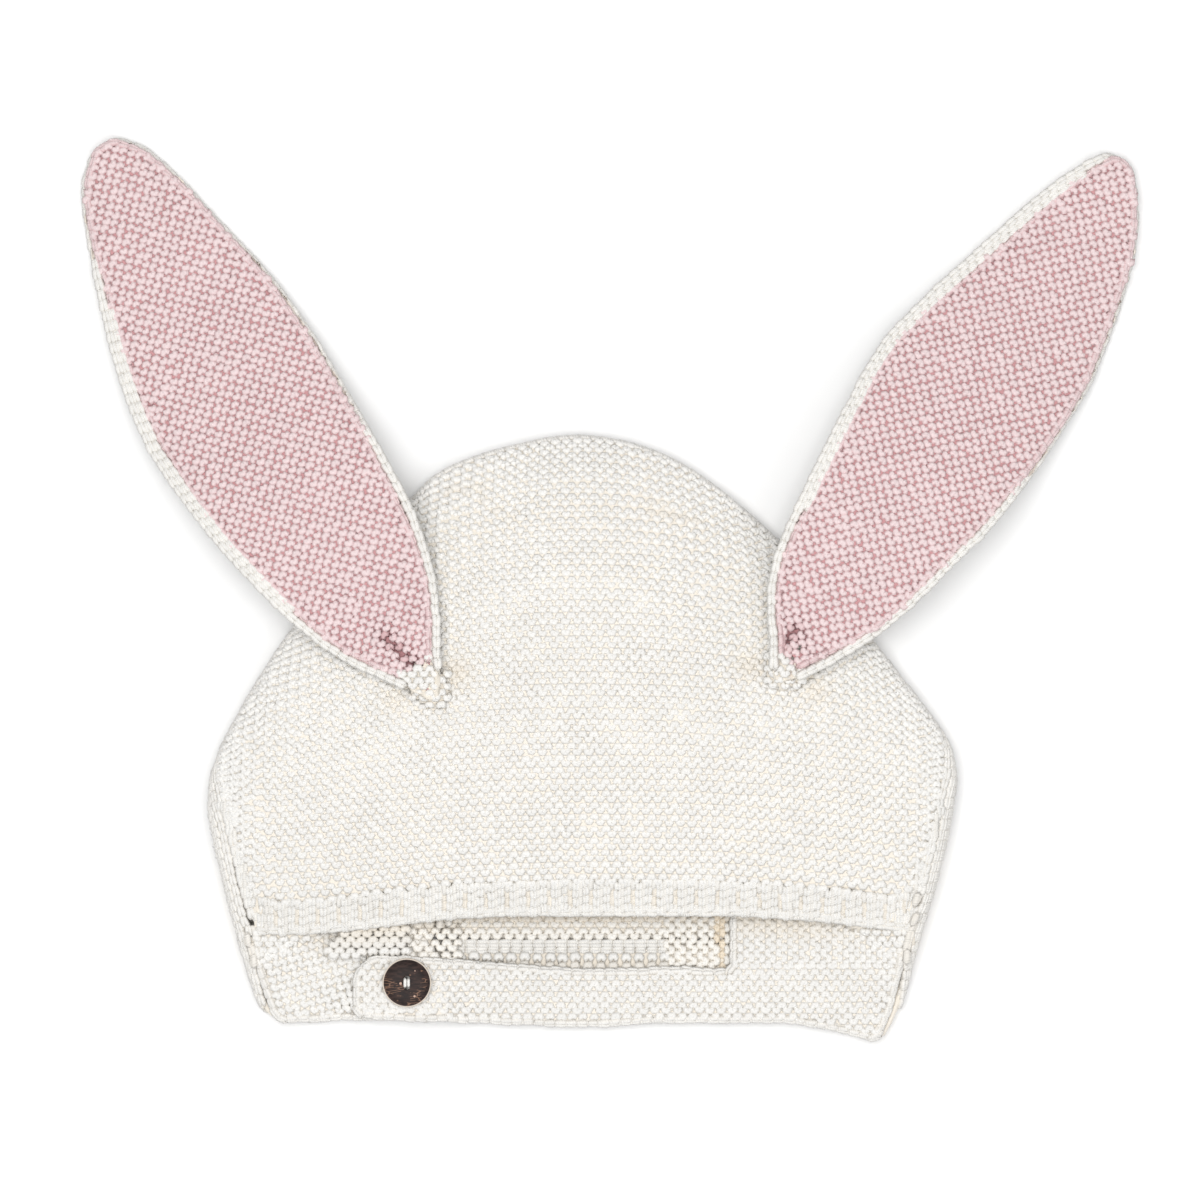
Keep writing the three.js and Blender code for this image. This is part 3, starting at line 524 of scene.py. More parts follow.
# The body's rolled edge
class Rim:
    """The body's outline seen from above, and the section of its rolled edge all the way round."""

    ROLL, REACH = 5.5 * MM, 12 * MM  # radius of the roll, and how far in its section goes
    CLEAR = 2.6 * MM  # the least height of a line on the upper side, so that its stitches clear the floor

    def __init__(self, front, back, middle, samples=800):
        union, upper = tree_of(*front, *back), tree_of(*front)
        self.middle = np.array(middle)
        turns = np.linspace(0, 2 * math.pi, samples, endpoint=False)
        ways = np.stack([np.cos(turns), np.sin(turns)], 1)
        reach = np.zeros(samples)
        for i, way in enumerate(ways):
            for z in (2, 3, 4, 5, 6, 7):
                start = Vector((*(self.middle + FAR * way), z * MM))
                hit = union.ray_cast(start, Vector((*-way, 0)))[0]
                if hit is not None:
                    reach[i] = max(reach[i], FAR - (hit - start).length)
        self.line = self.middle + self._round(reach[:, None], 2.4) * ways
        ahead = np.roll(self.line, -1, 0) - np.roll(self.line, 1, 0)
        self.inward = unit(np.stack([-ahead[:, 1], ahead[:, 0]], 1))

        # Each section is read by rays: up under the lower side, then a fan round the roll, then down on top
        fan = np.radians(np.arange(-84, 85, 12))
        flat = np.linspace(self.ROLL, self.REACH, 5)
        columns = len(fan) + 2 * len(flat)
        self.inset = np.full((samples, columns), np.nan)
        self.height = np.full((samples, columns), np.nan)
        top = np.zeros((samples, columns), bool)
        for i in range(samples):
            q, n = self.line[i], self.inward[i]
            rays = [((*(q + n * d), -0.05), (0, 0, 1)) for d in flat[::-1]]
            for a in fan:
                way = np.array([*(-n * math.cos(a)), math.sin(a)])
                rays.append((np.array([*(q + n * self.ROLL), self.ROLL]) + 0.03 * way, -way))
            rays += [((*(q + n * d), 0.1), (0, 0, -1)) for d in flat]
            for j, (start, way) in enumerate(rays):
                start, way = Vector(start), Vector(way)
                hit = union.ray_cast(start, way)[0]
                if hit is None:
                    continue
                self.inset[i, j] = (np.array(hit[:2]) - q) @ n
                self.height[i, j] = hit.z
                other = upper.ray_cast(start, way)[0]
                top[i, j] = other is not None and (other - hit).length < 0.4 * MM
        for grid in (self.inset, self.height):
            for j in range(columns):
                known = ~np.isnan(grid[:, j])
                if known.any():
                    grid[:, j] = np.interp(np.arange(samples), np.flatnonzero(known), grid[known, j],
                                           period=samples)
            grid[:] = self._round(grid, 4.0)
        steps = np.hypot(np.diff(self.inset, axis=1), np.diff(self.height, axis=1))
        self.run = np.concatenate([np.zeros((samples, 1)), np.cumsum(steps, axis=1)], 1)
        outermost = self.inset.argmin(1)
        self.run -= self.run[np.arange(samples), outermost][:, None]
        first = np.where(top.any(1), top.argmax(1), columns - 1)
        rows = np.arange(samples)
        seam = 0.5 * (self.run[rows, first] + self.run[rows, np.maximum(first - 1, 0)])
        self.seam = self._round(seam[:, None], 5.0)[:, 0]

    @staticmethod
    def _round(rows, sigma):
        """A blur along a closed line."""
        reach = int(4 * sigma) + 1
        k = np.exp(-0.5 * (np.arange(-reach, reach + 1) / sigma) ** 2)
        k /= k.sum()
        return sum(w * np.roll(rows, s, axis=0) for w, s in zip(k, range(-reach, reach + 1)))

    def nearest(self, xy):
        parts = np.array_split(xy, 1 + len(xy) // 4000)
        return np.concatenate([((part[:, None] - self.line[None]) ** 2).sum(-1).argmin(1) for part in parts])

    def wrap(self, x, y, relief, under=False):
        """Where flat cloth at x, y comes to lie: points, and their run round the edge less the seam's."""
        xy = np.stack([x, y], 1)
        i = self.nearest(xy)
        q, n = self.line[i], self.inward[i]
        depth = ((xy - q) * n).sum(1)
        slide = (xy - q) - n * depth[:, None]
        place = along_z(xy, relief.at(x, y))
        run = np.where(under, -1.0, 1.0) * np.maximum(depth, 0)
        edge = depth < self.REACH
        for k in np.flatnonzero(edge):
            runs, insets, heights = self.run[i[k]], self.inset[i[k]], self.height[i[k]]
            if under:
                s = runs[0] + (self.REACH - depth[k])
            else:
                s = runs[-1] - (self.REACH - depth[k])
            run[k] = s
            inset = np.interp(s, runs, insets)
            z = np.interp(s, runs, heights)
            blend = min(1.0, max(0.0, (depth[k] - 0.6 * self.REACH) / (0.4 * self.REACH)))
            place[k] = (*(q[k] + n[k] * inset + slide[k]), z * (1 - blend) + place[k, 2] * blend)
        return place, run - self.seam[i]

    def ring(self, offset):
        """The line that runs round the edge at one distance from the seam, and the ways out there."""
        points, outs = [], []
        for i, (q, n) in enumerate(zip(self.line, self.inward)):
            s = self.seam[i] + offset + np.array([-0.6, 0, 0.6]) * MM
            inset = np.interp(s, self.run[i], self.inset[i])
            height = np.interp(s, self.run[i], self.height[i])
            section = np.array([*(n * (inset[2] - inset[0])), height[2] - height[0]])
            out = np.cross([n[1], -n[0], 0], section)
            z = max(height[1], self.CLEAR) if offset >= 0 else height[1]
            points.append((*(q + n * inset[1]), z))
            outs.append(out if out @ [-n[0], -n[1], 0.3 if offset > 0 else -0.3] > 0 else -out)
        return np.array(points), unit(np.array(outs))


def frames(place_at, x, y, lean=0.0, flip=1.0):
    """Points of cloth at flat places, with across, up and out there, from small steps along rows that lean
    by an angle. flip is -1 on a side that faces down."""
    d = 0.9 * MM
    c, s = np.cos(lean), np.sin(lean)
    point = place_at(x, y)
    across = unit(place_at(x + d * c, y + d * s) - place_at(x - d * c, y - d * s))
    up = unit(place_at(x - d * s, y + d * c) - place_at(x + d * s, y - d * c))
    out = unit(np.cross(across, up)) * flip
    return point, across, unit(np.cross(out, across)), out


# Garter bumps, for each way: on the cream cloth, on the ears' pink faces, and on what faces the floor
FINE = {k: bump(k, WALE) for k in (1, -1)}
LOOSE = {k: bump(k, WALE, plump=1.28, dive=0.55, rise=1.85, crest=0.36) for k in (1, -1)}
PLAIN = {k: bump(k, WALE, steps=5, sides=4) for k in (1, -1)}
CHAIN_STEP = 2.9 * MM  # from one chain stitch to the next
CHAIN = vee(2.4 * MM, CHAIN_STEP, plump=1.08, dive=0.12)


def filler():
    """The straight strand that closes the gap under a chain or between two columns."""
    t = np.linspace(-1, 1, 5)
    path = np.stack([0 * t, 0.8 * CHAIN_STEP * t, 0 * t - 0.65 * MM], 1)
    verts, faces, crest, coords = tube(path, 1.05 * MM * (1 - 0.3 * t**4), 4)
    # a filler takes at most half of the painted crevice shade
    return verts, faces, 0.5 + 0.5 * crest, coords


FILLER = filler()


def garter(knit, rows, place_at, keep, lean=0.0, wale=WALE, ridge=RIDGE, templates=FINE, flip=1.0,
           sunk=SUNK, shade=None, turn=0.08):
    """Lays garter stitch. rows gives each row's places: x and y arrays a wale apart; keep says which
    places hold a stitch, and shade how dark it is there."""
    for x, y in rows:
        for way in (1, -1):
            shift = 0.0 if way == 1 else 0.5 * wale
            px = x + shift * np.cos(lean) - way * 0.25 * ridge * np.sin(lean)
            py = y + shift * np.sin(lean) + way * 0.25 * ridge * np.cos(lean)
            held = keep(px, py)
            if not held.any():
                continue
            px, py = px[held], py[held]
            point, across, up, out = frames(place_at, px, py, lean, flip)
            deep = shade(px, py) if shade is not None else 0.0
            knit.lay(templates[way], point - sunk * out, across, up, out, turn=turn, deep=deep)


def resample(line, spacing, closed=True):
    """Evenly spaced points along a line, about that far apart."""
    loop = np.vstack([line, line[:1]]) if closed else np.asarray(line)
    steps = np.linalg.norm(np.diff(loop[:, :3], axis=0), axis=1)
    run = np.concatenate([[0], np.cumsum(steps)])
    count = max(3, round(run[-1] / spacing))
    places = np.linspace(0, run[-1], count, endpoint=not closed)
    return np.stack([np.interp(places, run, loop[:, k]) for k in range(loop.shape[1])], 1)


def edging(knit, line, out, template=CHAIN, keep=None, sunk=SUNK, size=1.0, deep=0.1, closed=True):
    """Stitches one after another along a line of points, each with its own way out, and fillers below. deep
    is the stitches' painted shade; the fillers take a little painted shade of their own.
    """
    both = resample(np.hstack([line, out]), CHAIN_STEP, closed)
    points, out = both[:, :3], unit(both[:, 3:])
    ahead = np.roll(points, -1, 0) - np.roll(points, 1, 0)
    if not closed:
        ahead[0], ahead[-1] = points[1] - points[0], points[-1] - points[-2]
    up = unit(ahead)
    across = np.cross(up, out)
    held = keep(points[:, 0], points[:, 1]) if keep is not None else np.ones(len(points), bool)
    places, across, up, out = (v[held] for v in (points - sunk * out, across, up, out))
    for strands, shade in ((template, deep), (FILLER, 0.2)):
        knit.lay(strands, places, across, up, out, size, turn=0.03, stir=0.04 * MM, deep=shade)


WAYS = ((1, 0), (1, 1), (0, 1), (-1, 1), (-1, 0), (-1, -1), (0, -1), (1, -1))  # round one grid cell


def contour(nodes, step=0.5 * MM, blur=2.2):
    """The nodes' edge seen from above, anticlockwise, and the ways in from it."""
    tree = tree_of(*nodes)
    boxes = [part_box(n) for n in nodes]
    low = [min(b[0][i] for b in boxes) - 3 * step for i in (0, 1)]
    high = [max(b[1][i] for b in boxes) + 3 * step for i in (0, 1)]
    shape = [int((h - a) / step) + 1 for a, h in zip(low, high)]
    filled = np.zeros(shape, bool)
    for i in range(shape[0]):
        for j in range(shape[1]):
            spot = Vector((low[0] + i * step, low[1] + j * step, FAR))
            filled[i, j] = tree.ray_cast(spot, DOWN)[0] is not None
    first = tuple(np.argwhere(filled)[0])
    spot, way, line = first, 6, []
    while len(line) < 20000:
        for turn in range(8):
            trial = (way + 6 + turn) % 8
            ahead = (spot[0] + WAYS[trial][0], spot[1] + WAYS[trial][1])
            if filled[ahead]:
                break
        spot, way = ahead, trial
        line.append(spot)
        if spot == first and len(line) > 8:
            break
    line = np.array(line) * step + low
    line = resample(line, step)
    line = Rim._round(line, blur)
    ahead = np.roll(line, -1, 0) - np.roll(line, 1, 0)
    inward = unit(np.stack([-ahead[:, 1], ahead[:, 0]], 1))
    return line - 0.3 * step * inward, inward


class Slab:
    """The edge of one layer of cloth: its line, the ways in, and its upper and lower side there."""

    SHOULDER = 1.3 * MM  # how far in from the line the levels are read

    def __init__(self, *nodes):
        tree = tree_of(*nodes)
        self.line, self.inward = contour(nodes)
        inner = self.line + self.SHOULDER * self.inward
        self.top, self.low = (
            self._levels([tree.ray_cast(Vector((*p, z)), way)[0] for p in inner])
            for z, way in ((FAR, DOWN), (BELOW, UP))
        )

    @staticmethod
    def _levels(hits):
        known = [k for k, hit in enumerate(hits) if hit is not None]
        values = np.interp(np.arange(len(hits)), known, [hits[k].z for k in known], period=len(hits))
        return Rim._round(values[:, None], 3.0)[:, 0]

    def run(self, inset, rise, lean):
        """A line along the edge: inset from it, at a share of its height, facing out at an angle."""
        inset = np.broadcast_to(inset, (len(self.line),))
        z = self.low + rise * (self.top - self.low)
        line = np.column_stack([self.line + self.inward * inset[:, None], z])
        lean = math.radians(lean)
        out = np.column_stack([-self.inward * math.cos(lean), np.full(len(self.line), math.sin(lean))])
        return line, out

    def depth(self, x, y):
        """How far places lie in from the edge."""
        xy = np.stack([x, y], 1)
        parts = np.array_split(xy, 1 + len(xy) // 2000)
        near = np.concatenate([((part[:, None] - self.line[None]) ** 2).sum(-1).argmin(1) for part in parts])
        return ((xy - self.line[near]) * self.inward[near]).sum(1)


def bind(knit, slab, keep=None, under=False, low=False):
    """Binds a layer's edge with chains: on its upper side, or lower down its shoulder, and down its face."""
    edging(knit, *(slab.run(0.35 * MM, 0.86, 42) if low else slab.run(1.05 * MM, 1.0, 68)), keep=keep)
    edging(knit, *slab.run(0.1 * MM, 0.45, 0), keep=keep)
    if under:
        edging(knit, *slab.run(1.05 * MM, 0.0, -68), keep=keep)


def pad(knit, relief, covers, box, sunk, thick=1.2 * MM, step=1.1 * MM):
    """A closed layer of plain cloth that follows a relief wherever covers says so."""
    x = np.arange(box[0], box[2], step)
    y = np.arange(box[1], box[3], step)
    gx, gy = np.meshgrid(x, y, indexing="ij")
    held = covers(gx.ravel(), gy.ravel()).reshape(gx.shape)
    top = relief.at(gx.ravel(), gy.ravel()).reshape(gx.shape) - sunk
    cells = held[:-1, :-1] & held[1:, :-1] & held[:-1, 1:] & held[1:, 1:]
    size = gx.size
    verts = np.concatenate([np.stack([gx, gy, z], -1).reshape(-1, 3) for z in (top, top - thick)])
    at = np.arange(size).reshape(gx.shape)
    faces = []
    for i, j in np.argwhere(cells):
        a, b, c, d = at[i, j], at[i + 1, j], at[i + 1, j + 1], at[i, j + 1]
        faces += [(a, b, c), (a, c, d), (a + size, c + size, b + size), (a + size, d + size, c + size)]
        for near_by, p, q in (((i, j - 1), a, b), ((i + 1, j), b, c), ((i, j + 1), c, d), ((i - 1, j), d, a)):
            inside = 0 <= near_by[0] < cells.shape[0] and 0 <= near_by[1] < cells.shape[1]
            if not (inside and cells[near_by]):
                faces += [(p, p + size, q + size), (p, q + size, q)]
    used, faces = np.unique(np.array(faces), return_inverse=True)
    knit.base(verts[used], faces.reshape(-1, 3))


def side_box(side, inner, outer, low, high):
    """The box of a pad at the hat's left (-1) or right (1) side, from millimetres out and up."""
    left, right = sorted((side * inner, side * outer))
    return left * MM, low * MM, right * MM, high * MM


def near(x, y, spots):
    """How close places lie to some soft spots, each x, y, radius and strength in millimetres: 0 to 1."""
    total = np.zeros(len(x))
    for sx, sy, radius, strength in spots:
        total += strength * np.exp(-((x - sx * MM) ** 2 + (y - sy * MM) ** 2) / (radius * MM) ** 2)
    return np.clip(total, 0, 1)


# The two body panels
HOLLOW_MIDDLE = (0.0, -7 * MM)
CROWN_Y = 80.4 * MM
BAND = 8 * MM  # height of the brim's rib
NAPE_BAND = 12.5 * MM  # and of the nape's
FRONT, BACK = ["front_panel", "brim_band"], ["back_panel", "nape_band"]
FLAPS = ["left_flap", "right_flap_strap"]
rim = Rim(FRONT + FLAPS, BACK, HOLLOW_MIDDLE)
lower_rim = Rim(FLAPS, BACK, HOLLOW_MIDDLE)
front_relief = Relief(FRONT)
under_relief = Relief(BACK, start=BELOW, way=UP)

# Painted shade in the pockets round the ears' bases and under the brim, and painted shade marking the crown's
# decreases
POCKETS = ((-33.6, 16.8, 4.0, 0.9), (-50.0, 9.3, 3.5, 0.6), (43.9, 18.6, 3.5, 0.8), (61.8, 12.0, 3.5, 0.7))
DECREASE_SHADE = tuple(
    (x, y, 1.3, 0.7)
    for x0, y0, x1, y1, count in (
        (-35.9, 66.8, -26.4, 66.8, 4), (-26.9, 62.8, -18.9, 58.1, 3),
        (17.3, 62.8, 22.1, 61.3, 2), (17.8, 59.7, 30.1, 57.5, 5),
    )
    for x, y in zip(np.linspace(x0, x1, count), np.linspace(y0, y1, count))
)


def lower_edge(tree, x_values, first=-100 * MM, last=20 * MM, step=0.4 * MM):
    """The lowest y at which each x meets the tree from above, looked for from first to last."""
    edge = np.full(len(x_values), np.nan)
    for k, x in enumerate(x_values):
        y = first
        while y < last and tree.ray_cast(Vector((x, y, FAR)), DOWN)[0] is None:
            y += step
        if y < last:
            edge[k] = y
    known = ~np.isnan(edge)
    edge = np.interp(x_values, x_values[known], edge[known])
    return Relief._blur(edge[:, None], 1.5)[:, 0]


side_to_side = np.arange(-96, 97, 2) * MM
brim_low = lower_edge(tree_of(*FRONT), side_to_side)
hem_low = lower_edge(tree_of(*BACK), side_to_side)


ACROSS = np.arange(-38, 39) * WALE  # the stitches of one row of the body, from side to side


def brim_line(x):
    """The brim's lower edge."""
    return np.interp(x, side_to_side, brim_low)


def hem_line(x):
    """The back panel's lower edge."""
    return np.interp(x, side_to_side, hem_low)


def front_at(x, y):
    return rim.wrap(x, y, front_relief)[0]


def front_rows():
    """The front panel's rows: arched over the crown, level below it, and dipping with the brim."""
    rows = []
    lowest = brim_line(0.0) + BAND + 0.5 * RIDGE
    k = 0
    while lowest + k * RIDGE < CROWN_Y + 6 * MM:
        level = lowest + k * RIDGE
        arch = 10 * MM * math.exp(-max(0, CROWN_Y - level) / (38 * MM))
        dip = (brim_line(ACROSS) - brim_line(0.0)) * math.exp(-(level - lowest) / (30 * MM))
        rows.append((ACROSS, level - arch * (ACROSS / (40 * MM)) ** 2 + dip))
        k += 1
    return rows


def on_front(x, y):
    place, run = rim.wrap(x, y, front_relief)
    return (run > 2.5 * MM) & (place[:, 1] > brim_line(place[:, 0]) + BAND + 0.3 * MM)


for side, name in ((-1, "front_knit_left"), (1, "front_knit_right")):
    knit = Knit(name, "cream")

    def half(x):
        return (x >= 0) == (side > 0)

    def at_brim_end(x, y):
        """Between the brim's end and the side seam."""
        run, rise = rim.wrap(x, y, front_relief)[1], y - brim_line(x)
        return (run < 5.5 * MM) & (rise > 0.4 * MM) & (rise < BAND + 4 * MM)

    garter(knit, front_rows(), front_at, lambda x, y: half(x) & on_front(x, y),
           shade=lambda x, y: near(x, y, POCKETS + DECREASE_SHADE))
    edging(knit, *rim.ring(1.45 * MM), keep=lambda x, y: half(x) & (y > brim_line(x) + 0.5 * MM))
    # the strand in the seam is darkened with painted shade
    edging(knit, *rim.ring(0.0), template=FILLER, sunk=0.75 * MM, deep=0.5,
           keep=lambda x, y: half(x) & (y > brim_line(x) - 1 * MM))
    pad(knit, front_relief, at_brim_end, side_box(side, 80, 93, -54, -34), 1.1 * MM)
    if side < 0:
        cloth_under(knit, "front_panel")
        knit.finish("front_panel")
    else:
        knit.finish()


# Brim: pairs of smooth columns, parted by sunk purl stitches
RIB = 5.6 * MM
RIB_START = -70.7 * MM  # where one of the partings lies
COLUMN = vee(2.5 * MM, 2.35 * MM, plump=1.05, dive=0.12)
COLUMNS = (0.275, 0.725)  # where a rib's two columns lie, as shares of its width
knit = Knit("brim_rib", "rib")


def on_brim(x, y):
    place, run = rim.wrap(x, y, front_relief)
    return (run > 0.7 * MM) & (place[:, 1] < brim_line(place[:, 0]) + BAND + 2 * MM)


def lay_on_brim(template, x, rise, sunk, **how):
    """Lays one strand so many millimetres above the brim's edge, where the brim holds it."""
    x = np.array([x])
    y = brim_line(x) + rise * MM
    if on_brim(x, y)[0]:
        point, across, up, out = frames(front_at, x, y)
        knit.lay(template, point - sunk * out, across, up, out, **how)


for part in range(-6, 30):
    start = RIB_START + part * RIB
    for k in range(4):
        rise = 2.15 * k  # millimetres from one stitch of a column to the next
        for shift, stagger in zip(COLUMNS, (0, 0.9)):
            lay_on_brim(COLUMN, start + shift * RIB, 1.2 + rise + stagger, SUNK)
        # A parting is sunk and darkened with painted shade save at its ends; between the two columns a strand
        # fills up, with a little painted shade
        parting = (0.0, 0.6 if k < 3 else 0.1, 0.95 if k in (1, 2) else 0.2)
        for shift, sunk, deep in (parting, (0.5, 0.1, 0.2)):
            x = start + shift * RIB
            lay_on_brim(FILLER, x, 1.6 + rise, sunk * MM, size=0.8, turn=0.03, deep=deep)
# a strand along the brim's top, darkened with painted shade
x = np.arange(-92, 93) * MM
places = front_at(x, brim_line(x) + BAND)
level = np.tile([0, 0, 1.0], (len(x), 1))
edging(knit, places, level, template=FILLER, sunk=0.75 * MM, deep=0.3, closed=False)
brim_slab = Slab("brim_band")
bind(knit, brim_slab, keep=lambda x, y: (y < brim_line(x) + 3 * MM) & (abs(x) < 88 * MM))
cloth_under(knit, "brim_band", inset=0.7 * MM)
knit.finish("brim_band")


# Back: garter round the outside, rib along the nape, and what shows through the face opening
def under_at(x, y):
    return rim.wrap(x, y, under_relief, under=True)[0]


def on_back(x, y):
    place, run = rim.wrap(x, y, under_relief, under=True)
    return (run < -6.6 * MM) & (place[:, 1] > hem_line(place[:, 0]) + NAPE_BAND)


back_rows = [(ACROSS, np.full(len(ACROSS), -80 * MM + k * RIDGE)) for k in range(int(175 * MM / RIDGE))]
knit = Knit("back_knit", "cream")
garter(knit, back_rows, under_at, on_back, templates=PLAIN, flip=-1.0)
for offset in (-1.35, -3.7, -5.8):  # millimetres down the rolled edge from the seam
    edging(knit, *rim.ring(offset * MM), keep=lambda x, y: (y > -73 * MM) & ((abs(x) > 46 * MM) | (y > 0)))
knit.finish("back_panel")

knit = Knit("back_core", "cream")
cloth_under(knit, "back_panel")
knit.finish()
knit = Knit("inner_knit", "inner")


def inner_at(x, y):
    return along_z(np.stack([x, y], 1), np.full(len(x), INNER_Z))


def level_rows(first, last, heights):
    """Level rows from one stitch to another, at heights in millimetres."""
    x = np.arange(first, last) * WALE
    return [(x, np.full(len(x), y * MM)) for y in heights]


def darker_up(start, run, most):
    """The brim's shade: from a height in millimetres, full after so long a run, and never past most."""
    return lambda x, y: np.clip((y / MM - start) / run, 0, most)


INNER_Z = 3.0 * MM  # the back panel's inner side
WINDOW_LEFT, WINDOW_RIGHT = -36 * MM, 22 * MM
garter(knit, level_rows(-15, 8, (-53.2, -50.0, -46.8, -43.6, -40.4)), inner_at,
       lambda x, y: (x > WINDOW_LEFT) & (x < WINDOW_RIGHT), shade=darker_up(-51, 4, 0.45))
meet = Relief(["left_flap", "back_panel"], step=1.2 * MM, blur=3.0)
garter(knit, level_rows(-17, -9, (-59.6, -56.4, -53.2, -50.0, -46.8, -43.6)),
       lambda x, y: along_z(np.stack([x, y], 1), meet.at(x, y)),
       lambda x, y: (x > -46 * MM) & (x < -33 * MM), sunk=-0.5 * MM, shade=darker_up(-53, 6, 0.4))
GAUGE = 2.95 * MM  # the flaps' stitches, the same both ways
turned = [(np.full(8, x * MM), np.arange(-21, -13) * GAUGE) for x in (23.0, 26.0, 29.0, 32.0, 35.0, 38.0)]


def in_slit(x, y):
    """The gap at the window's right end: wide under the brim, narrow and slanting lower down."""
    down = -48 * MM - y
    return abs(x - 35.8 * MM - 0.14 * down) < 1.9 * MM - 0.08 * down


def below_brim(y):
    return (y > -62 * MM) & (y < -40 * MM)


garter(knit, turned, lambda x, y: inner_at(x, y) + [0, 0, 0.5 * MM],
       lambda x, y: below_brim(y) & ~in_slit(x, y), math.radians(90), GAUGE, GAUGE,
       shade=darker_up(-50.5, 4, 0.6))
# the slit's stitches are sunk and take full painted shade
garter(knit, turned[-2:], inner_at, lambda x, y: below_brim(y) & in_slit(x, y),
       math.radians(90), GAUGE, GAUGE, sunk=1.0 * MM, shade=lambda x, y: np.full(len(x), 1.0))
knit.finish()

knit = Knit("nape_rib", "rib")
nape_slab = Slab("nape_band")
for part in range(-16, 17):
    for k in range(5):
        for shift in COLUMNS:
            x = np.array([(part + shift) * RIB])
            y = hem_line(x) + (2.0 + 2.2 * k) * MM
            if abs(x[0]) < 74 * MM:
                point, across, up, out = frames(under_at, x, y, 0.0, -1.0)
                knit.lay(COLUMN, point - SUNK * out, across, up, out)
for y, size in ((-55.6, 1.0), (-57.4, 0.9)):
    x = np.arange(WINDOW_LEFT, WINDOW_RIGHT, 0.5 * MM)
    line = np.column_stack([x, np.full(len(x), y * MM), np.full(len(x), 3.1 * MM)])
    edging(knit, line, np.tile([0, 0.2, 1.0], (len(x), 1)), size=size, closed=False)
# two rows of big loops above the strap: the lower one, next to the strap's top edge, takes painted shade
x = np.arange(WINDOW_LEFT / MM, WINDOW_RIGHT / MM, 3.4) * MM
for y, way, deep in ((-60.1, 1, 0.0), (-62.6, 1, 0.5)):
    places = np.column_stack([x, np.full(len(x), y * MM), np.full(len(x), 3.0 * MM)])
    knit.lay(bump(way, 3.3 * MM, rise=2.6, crest=1.2), places, [1, 0, 0], [0, 1, 0], [0, 0, 1], deep=deep)
bind(knit, nape_slab, keep=lambda x, y: y < hem_line(x) + 2 * MM, under=True)
cloth_under(knit, "nape_band", inset=0.7 * MM)
knit.finish("nape_band")


# Ears: where each foot lies in millimetres, the ear's direction and length, how far up the pink side ends,
# its fold's line and half width left free of stitches, and the middle of the white cloth round its foot
EARS = {
    "left": {"base": (-41, 13), "turn": 120.8, "length": 168.6, "pink_end": 4.8, "gap": 0,
             "crease": ((-52.7, 26.6), (-44.7, 18.6)), "wrap": (-46.6, 13.0)},
    "right": {"base": (53.6, 17.6), "turn": 56.4, "length": 163, "pink_end": 1.5, "gap": 0.6,
              "crease": ((56.5, 28.5), (49.3, 18.6)), "wrap": (52.0, 13.0)},
}
EAR_WALE, EAR_RIDGE = 3.01 * MM, 3.06 * MM  # the ears are knitted a little tighter


def from_line(x, y, ends):
    """The distance from places to a short line, and how far along it they lie, 0 to 1."""
    a, b = (np.array(e) * MM for e in ends)
    p = np.stack([x, y], 1)
    t = np.clip(((p - a) @ (b - a)) / ((b - a) @ (b - a)), 0, 1)
    return np.linalg.norm(p - a - t[:, None] * (b - a), axis=1), t


